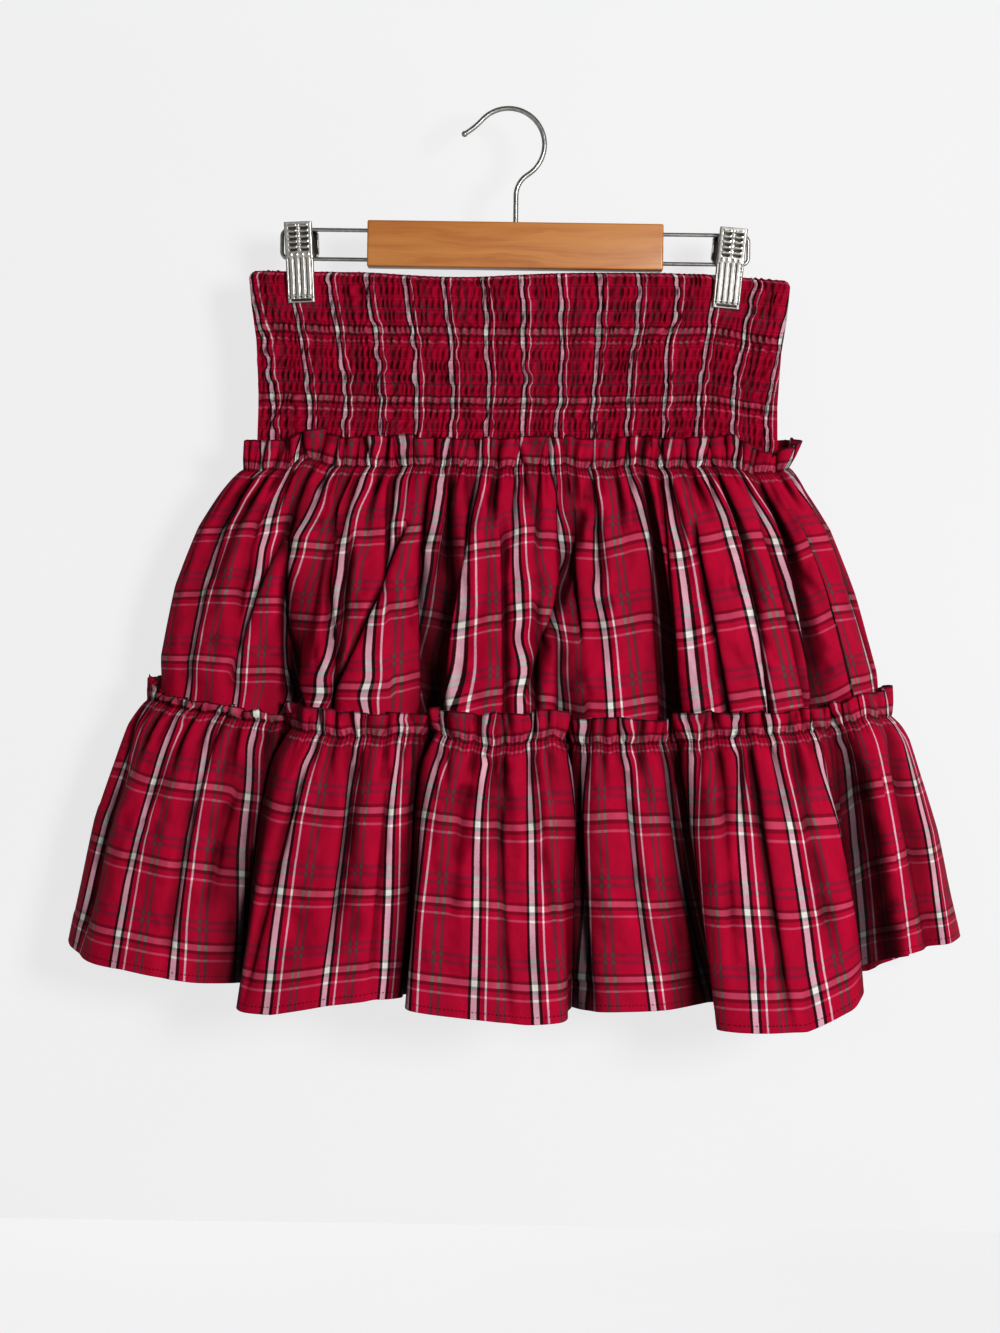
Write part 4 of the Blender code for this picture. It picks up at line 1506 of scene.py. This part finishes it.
        return cloth_piece(f"{self.name}_cloth", places, flat, self.wall, material, trim, shut)

    def drift(self, cloth: np.ndarray, level: float, seed: int, cell: float) -> np.ndarray:
        """Smooth noise that changes along a row and from row to row.

        Args:
            cloth: Places along the row.
            level: The row, counted in noise cells.
            seed: Which noise.
            cell: The noise's cell along the row.

        Returns:
            Values from -1 to 1.
        """
        line = math.floor(level)
        blend = float(smooth(0.25, 0.75, level - line))
        first = soft_noise(cloth, cell, 1000 * seed + line)
        return first * (1.0 - blend) + soft_noise(cloth, cell, 1000 * seed + line + 1) * blend

    @property
    def name(self) -> str:
        """The CAD node's name."""
        return "waistband_front" if self.front else "waistband_back"

    def dress(self, material: bpy.types.Material) -> bpy.types.Object:
        """Makes the panel and hides the CAD part that it stands for.

        Args:
            material: The smocked cloth.

        Returns:
            The piece.
        """
        piece = self.build(material)
        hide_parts(self.name)
        size = (self.flat_width * MM, self.flat_height * MM)
        return piece


@dataclass
class Shorts:
    """One half of the inner shorts: a plain knit leg open at the inseam."""

    side: str
    sign: float
    garment_x: float = GARMENT_X
    slope: float = WAIST_SLOPE
    squareness: float = 0.5
    columns: int = 96
    rows: int = 60
    wall: float = 0.8
    flat_width: float = 370.0
    flat_height: float = 250.0
    sections: Rows = (
        (-237.3, 165.0, 2.6, 2.6, 0.15),
        (-275.0, 168.0, 2.8, 2.8, 0.15),
        (-330.0, 173.0, 4.6, 4.6, 0.15),
        (-375.0, 180.0, 7.2, 7.2, 0.15),
        (-395.0, 180.0, 7.2, 5.6, 0.15),
        (-408.0, 180.0, 7.4, 2.4, 0.6),
        (-416.0, 180.0, 7.6, 0.15, 1.6),
        (-448.0, 182.0, 9.0, 0.15, 4.6),
        (-482.0, 184.0, 10.5, 0.15, 9.0),
    )

    def build(self, material: bpy.types.Material) -> bpy.types.Object:
        """Makes the half.

        Args:
            material: The knit.

        Returns:
            The piece.
        """
        top, bottom = self.sections[0][0], self.sections[-1][0]
        places = np.zeros((self.rows + 1, self.columns + 1, 3))
        flat = np.zeros((self.rows + 1, self.columns + 1, 2))
        for row in range(self.rows + 1):
            part = row / self.rows
            height = top + (bottom - top) * part
            width, depth, end, inner = (
                float(read_table(self.sections, height, column)) for column in (1, 2, 3, 4)
            )
            angle = np.linspace(-math.pi / 2.0, math.pi / 2.0, 161)
            round_x = inner + (width - inner) * np.abs(np.cos(angle)) ** self.squareness
            round_y = depth * np.sin(angle)
            lip = np.linspace(end, depth, 6)[:-1]
            line_x = np.concatenate([np.full(5, inner), round_x, np.full(5, inner)])
            line_y = np.concatenate([-lip, round_y, lip[::-1]])
            run = lengths_along(np.stack([line_x, line_y], axis=1))
            at = np.linspace(0.0, run[-1], self.columns + 1)
            x, y = np.interp(at, run, line_x), np.interp(at, run, line_y)
            if self.sign < 0.0:
                x, y = x[::-1], y[::-1]
            ripple = soft_noise(at, 26.0, 80) * 0.35 * part
            places[row, :, 0] = self.garment_x + self.sign * x
            places[row, :, 1] = y + np.sign(y) * np.minimum(ripple, 0.0)
            places[row, :, 2] = height + self.slope * self.sign * x * (1.0 - part) ** 8
            flat[row, :, 0] = at / run[-1] * self.flat_width
            flat[row, :, 1] = part * self.flat_height
        return cloth_piece(f"shorts_{self.side}_knit", places, flat, self.wall, material)

    def dress(self, material: bpy.types.Material) -> bpy.types.Object:
        """Makes the half and hides the CAD part that it stands for.

        Args:
            material: The knit.

        Returns:
            The piece.
        """
        piece = self.build(material)
        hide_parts(f"shorts_{self.side}")
        size = (self.flat_width * MM, self.flat_height * MM)
        return piece


# ---- The hanger ----


def arc(centre: Sequence[float], radius: float, start: float, stop: float, steps: int) -> np.ndarray:
    """Points round a circle in the XZ plane, from one angle in degrees to another.

    Args:
        centre: Its x and z.
        radius: Its radius.
        start: The first angle.
        stop: The last angle.
        steps: How many steps it takes.

    Returns:
        The points.
    """
    turn = np.radians(np.linspace(start, stop, steps + 1))
    x = centre[0] + radius * np.cos(turn)
    z = centre[1] + radius * np.sin(turn)
    return np.stack([x, np.zeros(len(turn)), z], axis=1)


def joined(name: str, pieces: Sequence[bpy.types.Object]) -> bpy.types.Object:
    """Makes one piece of several.

    Args:
        name: The piece's name.
        pieces: What it is made of, each at the origin.

    Returns:
        The piece.
    """
    bm = bmesh.new()
    for piece in pieces:
        bm.from_mesh(piece.data)
    material = pieces[0].data.materials[0]
    for piece in pieces:
        bpy.data.objects.remove(piece)
    piece = new_piece(name, mesh_from(bm, name), material)
    piece.data.set_sharp_from_angle(angle=math.radians(SHARP_STEEL))
    return piece


@dataclass
class Hook:
    """The hook's bright wire, with the ball on its tip."""

    wire: float = 3.3
    radius: float = 23.4
    open_angle: float = 138.0
    tip_run: float = 14.5
    flare: float = 1.5
    perk: float = 1.5
    ball: float = 0.62
    shank_x: float = HANGER_X
    shank_top: float = -55.0
    shank_end: float = -89.0

    def route(self) -> np.ndarray:
        """The middle of the wire, from the tip over the top and down the shank."""
        centre = (0.0, self.wire / 2.0 - self.radius)
        drop = self.shank_top - centre[1]
        second = (self.radius**2 - self.shank_x**2 - drop**2) / (
            2.0 * (self.shank_x - self.radius)
        )
        neck = (self.shank_x + second, self.shank_top)
        leave = math.degrees(math.atan2(neck[1] - centre[1], neck[0] - centre[0]))
        bend = arc(centre, self.radius, self.open_angle, leave, 72)
        angle = math.radians(self.open_angle)
        back = np.array((-math.sin(angle), 0.0, math.cos(angle)))
        share = np.linspace(1.0, 0.0, 14)[:-1, None]
        tip = bend[0] + back * self.tip_run * share
        tip += np.array((-self.flare, 0.0, self.perk)) * share**2
        lower = arc(neck, second, 180.0 + leave, 180.0, 28)[1:]
        ends = [(self.shank_x, 0.0, z) for z in (self.shank_top - 4.0, self.shank_end)]
        shank = np.linspace(ends[0], ends[1], 6)
        return np.concatenate([tip, bend, lower, shank])

    def dress(self, material: bpy.types.Material) -> bpy.types.Object:
        """Makes the hook.

        Args:
            material: Its steel.

        Returns:
            The piece.
        """
        route = self.route()
        wire = swept_piece("hook_wire_only", route, self.wire / 2.0, material, 24)
        bm = bmesh.new()
        matrix = Matrix.Translation(Vector(route[0]) * MM)
        size = self.wire * self.ball * MM
        bmesh.ops.create_uvsphere(bm, u_segments=28, v_segments=18, radius=size, matrix=matrix)
        tip = new_piece("hook_tip_only", mesh_from(bm, "hook_tip_only"), material)
        piece = joined("hook_wire", (wire, tip))
        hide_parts("hanger_hook")
        return piece


@dataclass
class Bar:
    """The wooden bar, its edges eased, with a hole bored where each wire and the hook's shank enter it."""

    hanger_x: float = HANGER_X
    half_length: float = 96.0
    top: float = -73.0
    height: float = 30.0
    thickness: float = 12.0
    edge: float = 1.2
    holes: tuple[float, float] = WIRE_LEVELS
    hole_radius: float = 1.6
    hole_depth: float = 9.6
    shank_radius: float = 1.95
    shank_depth: float = 16.3

    def drill(self, bar: bpy.types.Object, bm: bmesh.types.BMesh) -> None:
        """Cuts a shape out of the bar.

        Args:
            bar: The bar.
            bm: The shape.
        """
        drill = bpy.data.objects.new("drill", mesh_from(bm, "drill"))
        bpy.context.scene.collection.objects.link(drill)
        cut = bar.modifiers.new("cut", "BOOLEAN")
        cut.operation = "DIFFERENCE"
        cut.solver = "EXACT"
        cut.object = drill
        bpy.context.view_layer.update()
        graph = bpy.context.evaluated_depsgraph_get()
        mesh = bpy.data.meshes.new_from_object(bar.evaluated_get(graph))
        bar.modifiers.remove(cut)
        bar.data = mesh
        bpy.data.objects.remove(drill)

    def dress(self, material: bpy.types.Material) -> bpy.types.Object:
        """Makes the bar.

        Args:
            material: Its wood.

        Returns:
            The piece.
        """
        bm = bmesh.new()
        bmesh.ops.create_cube(bm, size=MM)
        size = Vector((self.half_length * 2.0, self.thickness, self.height))
        bmesh.ops.scale(bm, vec=size, verts=bm.verts)
        bmesh.ops.bevel(
            bm,
            geom=bm.edges,
            offset=self.edge * MM,
            segments=5,
            profile=0.5,
            affect="EDGES",
            material=-1,
        )
        middle = Vector((self.hanger_x, 0.0, self.top - self.height / 2.0))
        bmesh.ops.translate(bm, vec=middle * MM, verts=bm.verts)
        piece = new_piece("wooden_bar", mesh_from(bm, "wooden_bar"), material)
        across = Matrix.Rotation(math.pi / 2.0, 4, "Y")
        ends = [self.hanger_x + sign * self.half_length for _, sign in SIDES]
        places = [Vector((x, 0.0, z)) for x in ends for z in self.holes]
        bores = [(place, across, self.hole_radius, self.hole_depth) for place in places]
        top = Vector((self.hanger_x, 0.0, self.top))
        bores.append((top, Matrix.Identity(4), self.shank_radius, self.shank_depth))
        for place, turn, radius, depth in bores:
            bm = bmesh.new()
            bmesh.ops.create_cone(
                bm,
                cap_ends=True,
                segments=32,
                radius1=radius * MM,
                radius2=radius * MM,
                depth=2.0 * depth * MM,
                matrix=Matrix.Translation(place * MM) @ turn,
            )
            self.drill(piece, bm)
        piece.data.set_sharp_from_angle(angle=math.radians(40.0))
        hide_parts("hanger_bar")
        return piece


@dataclass
class WireLoop:
    """The wire that leaves one end of the bar, turns outside its clip and comes back."""

    side: str
    sign: float
    hanger_x: float = HANGER_X
    wire: float = 2.6
    start: float = 87.3
    reach: float = 152.8
    corner: float = 4.5
    levels: tuple[float, float] = WIRE_LEVELS

    def dress(self, material: bpy.types.Material) -> bpy.types.Object:
        """Makes the loop.

        Args:
            material: Its steel.

        Returns:
            The piece.
        """
        far = self.reach - self.wire / 2.0 - self.corner
        high, low = self.levels
        upper = np.linspace((self.start, 0.0, high), (far - 1.0, 0.0, high), 12)
        lower = np.linspace((far - 1.0, 0.0, low), (self.start, 0.0, low), 12)
        first = arc((far, high - self.corner), self.corner, 90.0, 0.0, 14)
        second = arc((far, low + self.corner), self.corner, 0.0, -90.0, 14)
        route = np.concatenate([upper, first, second, lower])
        route[:, 0] = self.hanger_x + self.sign * route[:, 0]
        piece = swept_piece(f"wire_loop_{self.side}", route, self.wire / 2.0, material, 20)
        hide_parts(f"wire_{self.side}")
        return piece


@dataclass
class Clip:
    """One sprung clip: two folded steel jaws on a pin, with a coil spring round the pin.

    The front jaw is stamped with a grip of two columns of slots, a row of dots under them, four
    ribs down to its lip, a pit at the end of each groove, and one groove along the lip.
    """

    side: str
    sign: float
    lean: float
    hanger_x: float = HANGER_X
    clip_x: float = CLIP_X
    width: float = CLIP_WIDTH
    steel: float = 1.0
    pivot_z: float = CLIP_PIVOT_Z
    fold: float = 1.2
    pin_radius: float = 1.2
    spring_radius: float = 3.0
    spring_wire: float = 1.1
    spring_half: float = 4.0
    spring_turns: int = 6
    spring_leg: float = 3.2
    leg_rise: float = 0.9
    gap: float = 0.3
    slot_top: float = -79.8
    slot_pitch: float = 3.4
    slots: int = 5
    slot_columns: tuple[float, float] = (-3.7, 3.7)
    slot_half: tuple[float, float] = (2.7, 0.8)
    slot_depth: float = 1.1
    rib_pitch: float = 3.7
    rib_depth: float = 0.65
    dots_z: float = -96.4
    ribs: tuple[float, float] = (-97.8, -122.4)
    pits_z: float = -123.4
    groove_z: float = -125.2
    groove: tuple[float, float] = (6.8, 0.75)
    wing: float = 3.3
    profile: Rows = (
        (-75.7, 10.75, 6.2), (-77.5, 10.4, 5.0), (-83.0, 9.4, 2.4), (-85.4, 8.9, -2.4),
        (-91.8, 7.7, -2.4), (-94.2, 7.2, 2.2), (-104.0, 5.9, 2.1), (-122.5, 4.5, 2.1),
        (-127.0, 3.6, 2.1),
    )

    def place(self, across: np.ndarray, out: np.ndarray, height: float) -> np.ndarray:
        """Points of the clip, leaned about its pivot.

        Args:
            across: How far each is from the clip's middle.
            out: How far each stands off the hanger's middle.
            height: Their height before the lean.

        Returns:
            The points.
        """
        turn = math.radians(-self.lean)
        drop = height - self.pivot_z
        x = across * math.cos(turn) + drop * math.sin(turn)
        z = -across * math.sin(turn) + drop * math.cos(turn)
        middle = self.hanger_x + self.sign * self.clip_x
        return np.stack([middle + x, out, self.pivot_z + z], axis=1)

    def stamping(self, across: np.ndarray, height: float) -> np.ndarray:
        """The front jaw's relief along one row.

        Args:
            across: Places across the face.
            height: The row's height.

        Returns:
            How far the face stands out at each place.
        """
        relief = np.zeros(len(across))
        for step in range(self.slots):
            level = self.slot_top - self.slot_pitch * step
            for column in self.slot_columns:
                along = (across - column) / self.slot_half[0]
                rise = level + 0.45 * along * along - height
                inside = 1.0 - smooth(0.75, 1.05, np.abs(along))
                cut = 1.0 - smooth(0.45, 1.0, np.abs(rise) / self.slot_half[1])
                bulge = np.exp(-(((rise + 1.4) / 0.7) ** 2))
                relief = relief + inside * (0.3 * bulge - self.slot_depth * cut)
            stud = np.hypot(across, height - level - self.slot_pitch / 2.0)
            relief = relief + 0.35 * np.exp(-((stud / 0.7) ** 2))
        nearest = np.abs(across / self.rib_pitch - np.rint(across / self.rib_pitch)) * self.rib_pitch
        within = np.abs(across) < self.rib_pitch * 2.2
        if self.ribs[1] < height < self.ribs[0]:
            fade = float(smooth(self.ribs[0], self.ribs[0] - 1.0, height)) * float(
                smooth(self.ribs[1], self.ribs[1] + 1.0, height)
            )
            groove = 1.0 - smooth(0.2, 0.95, nearest)
            relief = relief - self.rib_depth * fade * groove * within
        dot = np.hypot(self.rib_pitch / 2.0 - nearest, height - self.dots_z)
        relief = relief + 0.45 * np.exp(-((dot / 0.8) ** 2)) * within
        long, tall = self.groove
        lip = 1.0 - float(smooth(0.35 * tall, tall, abs(height - self.groove_z)))
        relief = relief - lip * (1.0 - smooth(long - 0.6, long, np.abs(across)))
        pit = np.hypot(nearest, height - self.pits_z)
        return relief - 0.9 * (1.0 - smooth(0.35, 0.95, pit)) * within

    def jaw(self, front: bool, material: bpy.types.Material) -> bpy.types.Object:
        """Makes one jaw.

        Args:
            front: Which of the two.
            material: Its steel.

        Returns:
            The piece.
        """
        out = -1.0 if front else 1.0
        rows, face_columns = (150, 56) if front else (60, 14)
        outer = self.width / 2.0 - (0.0 if front else self.steel + self.gap)
        places, painted_slot_shade = [], []
        for height in np.linspace(self.profile[0][0], self.profile[-1][0], rows + 1):
            face = float(read_table(self.profile, height, 1))
            end = float(read_table(self.profile, height, 2))
            bump = float(smooth(-76.0, -82.0, height)) * float(smooth(-101.0, -94.0, height))
            wing = 0.0 if front else (self.wing + self.steel + self.gap) * bump
            ends = (outer + wing, outer) if self.sign > 0.0 else (outer, outer + wing)
            turn = np.linspace(0.0, math.pi / 2.0, 6)
            inward = self.fold * (1.0 - np.cos(turn))
            rise = face - self.fold * (1.0 - np.sin(turn))
            x = np.linspace(self.fold - ends[0], ends[1] - self.fold, face_columns + 1)[1:-1]
            relief = self.stamping(x, float(height)) if front else 0.0 * x
            y = face + relief
            # Painted shade for the slots, grooves and pits, by how deep each is.
            painted_slot_shade.append(np.pad(np.clip(-relief / self.slot_depth, 0.0, 1.0), 10))
            wall = np.linspace(end, face - self.fold, 5)[:-1]
            left = (np.full(len(wall), -ends[0]), inward - ends[0])
            right = ((ends[1] - inward)[::-1], np.full(len(wall), ends[1]))
            across = np.concatenate([*left, x, *right])
            stand = np.concatenate([wall, rise, y, rise[::-1], wall[::-1]])
            points = self.place(across, out * stand, float(height))
            places.append(points if front else points[::-1])
        grid = np.array(places)
        name = f"clip_{self.side}_{'front' if front else 'back'}"
        flat = np.zeros(grid.shape[:2] + (2,))
        piece = cloth_piece(f"{name}_jaw", grid, flat, self.steel, material, shut=np.array(painted_slot_shade))
        piece.modifiers["wall"].use_even_offset = True
        piece.modifiers["wall"].thickness_clamp = 1.0
        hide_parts(name)
        return piece

    def spring(self, material: bpy.types.Material) -> bpy.types.Object:
        """Makes the pin and the coil spring round it.

        Args:
            material: Their steel.

        Returns:
            The piece.
        """
        turn = math.radians(-self.lean)
        axis = np.array((math.cos(turn), 0.0, -math.sin(turn)))
        up = np.array((math.sin(turn), 0.0, math.cos(turn)))
        middle = np.array((self.hanger_x + self.sign * self.clip_x, 0.0, self.pivot_z))
        half = self.width / 2.0 - 2.0 * self.steel - 2.0 * self.gap
        ends = np.array([middle - axis * half, middle + axis * half])
        pin = swept_piece("pin_only", ends, self.pin_radius, material)
        quarter, steps = math.pi * 0.5, 24 * self.spring_turns + 25
        angle = np.linspace(-quarter, math.tau * self.spring_turns + quarter, steps)
        share = np.linspace(-1.0, 1.0, len(angle))[:, None]
        out = np.array((0.0, 1.0, 0.0))
        coil = middle + axis * self.spring_half * share
        coil = coil + self.spring_radius * (np.cos(angle)[:, None] * out + np.sin(angle)[:, None] * up)
        legs = [
            end + out * toward * self.spring_leg + up * self.spring_leg * self.leg_rise
            for end, toward in ((coil[0], -1.0), (coil[-1], 1.0))
        ]
        route = np.concatenate([[legs[0]], coil, [legs[1]]])
        spring = swept_piece("spring_only", route, self.spring_wire / 2.0, material, 12)
        piece = joined(f"clip_{self.side}_coil", (pin, spring))
        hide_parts(f"clip_{self.side}_spring")
        return piece

    def dress(self, material: bpy.types.Material) -> list[bpy.types.Object]:
        """Makes the clip.

        Args:
            material: Its steel.

        Returns:
            The pieces.
        """
        return [self.jaw(True, material), self.jaw(False, material), self.spring(material)]


# ---- Studio ----


@dataclass
class Studio:
    """Pale wall and floor, soft light from the upper right, and the camera."""

    wall_y: float = 0.052
    floor_z: float = -0.736
    camera_y: float = -1.6
    camera_x: float = -0.0008
    camera_z: float = -0.3612
    view_height: float = 0.8665
    roll: float = 0.8
    sensor: float = 24.0
    sheet_half: float = 3.0
    aim: tuple[float, float, float] = (0.0, 0.0, -0.35)
    glow: float = 0.75
    washed: float = 0.88

    def sheet(self, name: str, matrix: Matrix, tone: Colour) -> bpy.types.Object:
        """A big plain sheet that shows from its front side alone.

        Args:
            name: Its name.
            matrix: Its place, with the front along its own Z.
            tone: Its colour.

        Returns:
            The sheet.
        """
        bench = Bench(name)
        bench.feed(Roughness=0.85)
        mottle = bench.noise(bench.object_place(), 0.004, 2.0)
        pale = bench.mix(mottle, linear(tone), linear(tuple(t * 0.985 for t in tone)))
        bench.feed(Base_Color=bench.mix(self.washed, pale, (0.0, 0.0, 0.0)))
        bench.feed(Emission_Color=pale, Emission_Strength=self.glow)
        clear = bench.node("BsdfTransparent").outputs[0]
        behind = bench.node("NewGeometry").outputs["Backfacing"]
        both = bench.node("MixShader", None, {0: behind, 1: bench.shader.outputs[0], 2: clear})
        bench.connect(bench.tree.nodes["Material Output"].inputs[0], both.outputs[0])
        bm = bmesh.new()
        half = self.sheet_half
        bmesh.ops.create_grid(bm, x_segments=2, y_segments=2, size=half, matrix=matrix)
        mesh = mesh_from(bm, name)
        mesh.materials.append(bench.material)
        obj = bpy.data.objects.new(name, mesh)
        bpy.context.scene.collection.objects.link(obj)
        obj.visible_shadow = False
        obj.visible_diffuse = False
        return obj

    def light(self, name: str, place: Sequence[float], size: float, power: float) -> None:
        """An area light that points at the garment's upper half.

        Args:
            name: Its name.
            place: Where it stands.
            size: Its width.
            power: Its watts.
        """
        lamp = bpy.data.lights.new(name, "AREA")
        lamp.shape = "DISK"
        lamp.size = size
        lamp.energy = power
        obj = bpy.data.objects.new(name, lamp)
        obj.location = place
        away = Vector(self.aim) - Vector(place)
        obj.rotation_euler = away.to_track_quat("-Z", "Y").to_euler()
        bpy.context.scene.collection.objects.link(obj)

    def world(self) -> None:
        """Soft light from all round, stronger from above."""
        world = bpy.data.worlds.new("studio")
        world.use_nodes = True
        nodes = world.node_tree.nodes
        links = world.node_tree.links
        place = nodes.new("ShaderNodeTexCoord")
        parts = nodes.new("ShaderNodeSeparateXYZ")
        ramp = nodes.new("ShaderNodeMapRange")
        ramp.inputs["From Min"].default_value = -1.0
        ramp.inputs["To Min"].default_value = 0.05
        ramp.inputs["To Max"].default_value = 0.16
        links.new(place.outputs["Generated"], parts.inputs[0])
        links.new(parts.outputs[2], ramp.inputs[0])
        links.new(ramp.outputs[0], nodes["Background"].inputs["Strength"])
        nodes["Background"].inputs["Color"].default_value = (1.0, 1.0, 1.0, 1.0)
        bpy.context.scene.world = world

    def camera(self) -> None:
        """The camera, level with the middle of the view and turned a little."""
        lens = bpy.data.cameras.new("camera")
        lens.sensor_fit = "VERTICAL"
        lens.sensor_height = self.sensor
        lens.lens = self.sensor * -self.camera_y / self.view_height
        obj = bpy.data.objects.new("camera", lens)
        turn = Matrix.Rotation(math.pi / 2.0, 4, "X") @ Matrix.Rotation(math.radians(self.roll), 4, "Z")
        place = Vector((self.camera_x, self.camera_y, self.camera_z))
        obj.matrix_world = Matrix.Translation(place) @ turn
        bpy.context.scene.collection.objects.link(obj)
        bpy.context.scene.camera = obj

    def build(self) -> None:
        """Sets the stage, lights, world and camera."""
        upright = Matrix.Translation((0.0, self.wall_y, self.floor_z + self.sheet_half))
        upright = upright @ Matrix.Rotation(math.pi / 2.0, 4, "X")
        self.sheet("wall", upright, display(240, 240, 241))
        level = Matrix.Translation((0.0, self.wall_y - self.sheet_half, self.floor_z))
        self.sheet("floor", level, display(237, 237, 238))
        self.light("key", (1.05, -2.0, -0.05), 0.6, 41.0)
        self.light("fill", (-1.2, -2.4, 0.2), 1.6, 3.6)
        self.light("rear", (-0.4, 2.2, 0.3), 0.9, 22.0)
        self.world()
        self.camera()
        bpy.context.scene.view_settings.view_transform = "Standard"
        bpy.context.scene.view_settings.look = "Medium High Contrast"


# ---- The whole object ----


def skirt_tiers(rings: FoldRings) -> list[Tier]:
    """The four tier panels.

    Args:
        rings: The skirt's folds.

    Returns:
        The panels, upper ones first.
    """
    seam, around = rings.front_end, len(rings.gather)
    upper = {
        "rings": rings,
        "start": rings.waist,
        "end": rings.gather,
        "ease": 0.72,
        "header": 19.0,
        "fullness": 0.93,
        "pleats": (22.0, 8.0, 76.0),
        "puckers": (8.5, 2.8, 17.0),
        "drop": 186.0,
        "inset": 1.5,
        "tuck": 2.5,
        "tucked": 1.0,
        "below": 3.0,
        "bulge_rows": (
            (1.0, -2.0, 1.5), (0.93, -1.0, 3.0), (0.8, 2.0, 3.0), (0.5, 7.0, 4.0), (0.25, 5.0, 2.0),
            (0.1, 0.0, -3.5), (0.0, -1.0, -2.0), (-1.0, -4.5, 2.0),
        ),
    }
    lower = {
        "rings": rings,
        "start": rings.gather,
        "end": rings.hem,
        "ease": 0.75,
        "header": 21.0,
        "fullness": 1.13,
        "pleats": (18.0, 6.6, 50.0),
        "puckers": (8.5, 2.8, 16.0),
        "bulge_rows": (
            (1.0, 0.0, 0.0), (0.75, 1.5, 1.5), (0.5, 3.2, 3.2), (0.25, 1.2, 1.2), (0.0, 0.0, 0.0),
            (-1.0, -4.0, -6.5),
        ),
        "drop": 172.0,
        "hem": 5.0,
    }
    return [
        Tier(
            name="upper_tier_front",
            rise_rows=(
                (740.0, -4.5), (712.0, -3.0), (690.0, 0.0), (134.0, 0.5), (118.0, 6.5), (88.0, 5.5),
                (80.0, 0.0),
            ),
            header_rows=((740.0, 0.6), (722.0, 0.78), (690.0, 1.0), (0.0, 1.0)),
            span=(0, seam),
            flat_width=740.0,
            draws=(3, 13),
            creases=UPPER_FRONT_CREASES,
            pattern=(8.0, -1.0),
            rests_on=("waistband_front",),
            seed=21,
            **upper,
        ),
        Tier(
            name="upper_tier_back",
            columns=400,
            rows=54,
            span=(seam, around),
            flat_width=740.0,
            draws=(4, 14),
            creases=UPPER_BACK_CREASES,
            crumple=0.5,
            rise_rows=((740.0, 0.0), (50.0, 0.0), (28.0, -3.0), (0.0, -4.5)),
            header_rows=((740.0, 1.0), (50.0, 1.0), (18.0, 0.78), (0.0, 0.6)),
            pattern=(20.0, -1.0),
            rests_on=("waistband_back",),
            seed=22,
            **upper,
        ),
        Tier(
            name="lower_tier_front",
            rise_rows=(
                (880.0, 8.0), (850.0, 9.0), (812.0, 14.0), (770.0, 14.0), (690.0, 12.0),
                (650.0, 16.0), (600.0, 14.0), (530.0, 9.0), (480.0, 4.5), (441.0, 1.0),
                (410.0, 4.0), (388.0, 8.0), (366.0, 7.0), (326.0, 4.0), (260.0, 0.0),
            ),
            hem_rows=(
                (880.0, 3.0), (850.0, 4.0), (825.0, 7.0), (812.0, 13.0), (786.0, 8.0), (760.0, 0.0),
                (540.0, 0.0), (523.0, 5.0), (500.0, 3.0), (470.0, 0.0), (376.0, 0.0), (362.0, -2.0),
                (338.0, 2.5), (300.0, 8.5), (266.0, 6.0), (228.0, 0.0), (70.0, 0.0), (40.0, -2.5),
                (12.0, -3.0), (0.0, 0.0),
            ),
            lips=(0.0, 4.5),
            span=(0, seam),
            flat_width=880.0,
            draws=(5, 15),
            creases=LOWER_FRONT_CREASES,
            header_rows=(
                (880.0, 0.72), (812.0, 0.66), (770.0, 0.72), (700.0, 0.84), (640.0, 0.75),
                (560.0, 0.8), (500.0, 0.86), (441.0, 1.0), (388.0, 0.75), (372.0, 0.45),
                (326.0, 0.62), (240.0, 0.82), (192.0, 0.82), (178.0, 0.32), (34.0, 0.28),
                (16.0, 0.6), (0.0, 0.75),
            ),
            uneven=0.8,
            wander=0.05,
            pattern=(20.0, 0.0),
            rests_on=("upper_tier_front",),
            seed=23,
            **lower,
        ),
        Tier(
            name="lower_tier_back",
            columns=400,
            rows=54,
            span=(seam, around),
            flat_width=800.0,
            draws=(6, 16),
            creases=LOWER_BACK_CREASES,
            crumple=0.8,
            rise_rows=((800.0, 0.0), (70.0, 0.0), (30.0, 5.0), (0.0, 8.0)),
            hem_rows=((800.0, 0.0), (40.0, 0.0), (0.0, 3.0)),
            header_rows=((800.0, 0.75), (770.0, 1.0), (60.0, 1.0), (30.0, 0.85), (0.0, 0.72)),
            pattern=(0.0, 0.0),
            rests_on=("upper_tier_back",),
            seed=24,
            **lower,
        ),
    ]


def main() -> None:
    """Builds and dresses every sub-assembly in order."""
    logging.basicConfig(level=logging.INFO, format="%(message)s")
    Studio().build()
    rings = FoldRings()
    plaid = PlaidCotton().material()
    smocked = PlaidCotton().material(Smocking.ROWS)
    knit = ShortsKnit().material()
    wire = Steel("hanger_steel", (0.6, 0.595, 0.58), 0.3, 0.08).material()
    plate = Steel("clip_plate", (0.66, 0.65, 0.63), 0.3, 0.06).material()
    log.info("built %s", Hook().dress(wire).name)
    log.info("built %s", Bar().dress(LacqueredWood().material()).name)
    for (side, sign), lean in zip(SIDES, CLIP_LEANS):
        log.info("built %s", WireLoop(side, sign).dress(wire).name)
        for piece in Clip(side, sign, lean).dress(plate):
            log.info("built %s", piece.name)
    for band in (Waistband(True), Waistband(False, pleat_columns=5, rows=64)):
        log.info("built %s", band.dress(smocked).name)
    for tier in skirt_tiers(rings):
        log.info("built %s", tier.dress(plaid).name)
    for side, sign in SIDES:
        log.info("built %s", Shorts(side, sign).dress(knit).name)


if __name__ == "__main__":
    main()
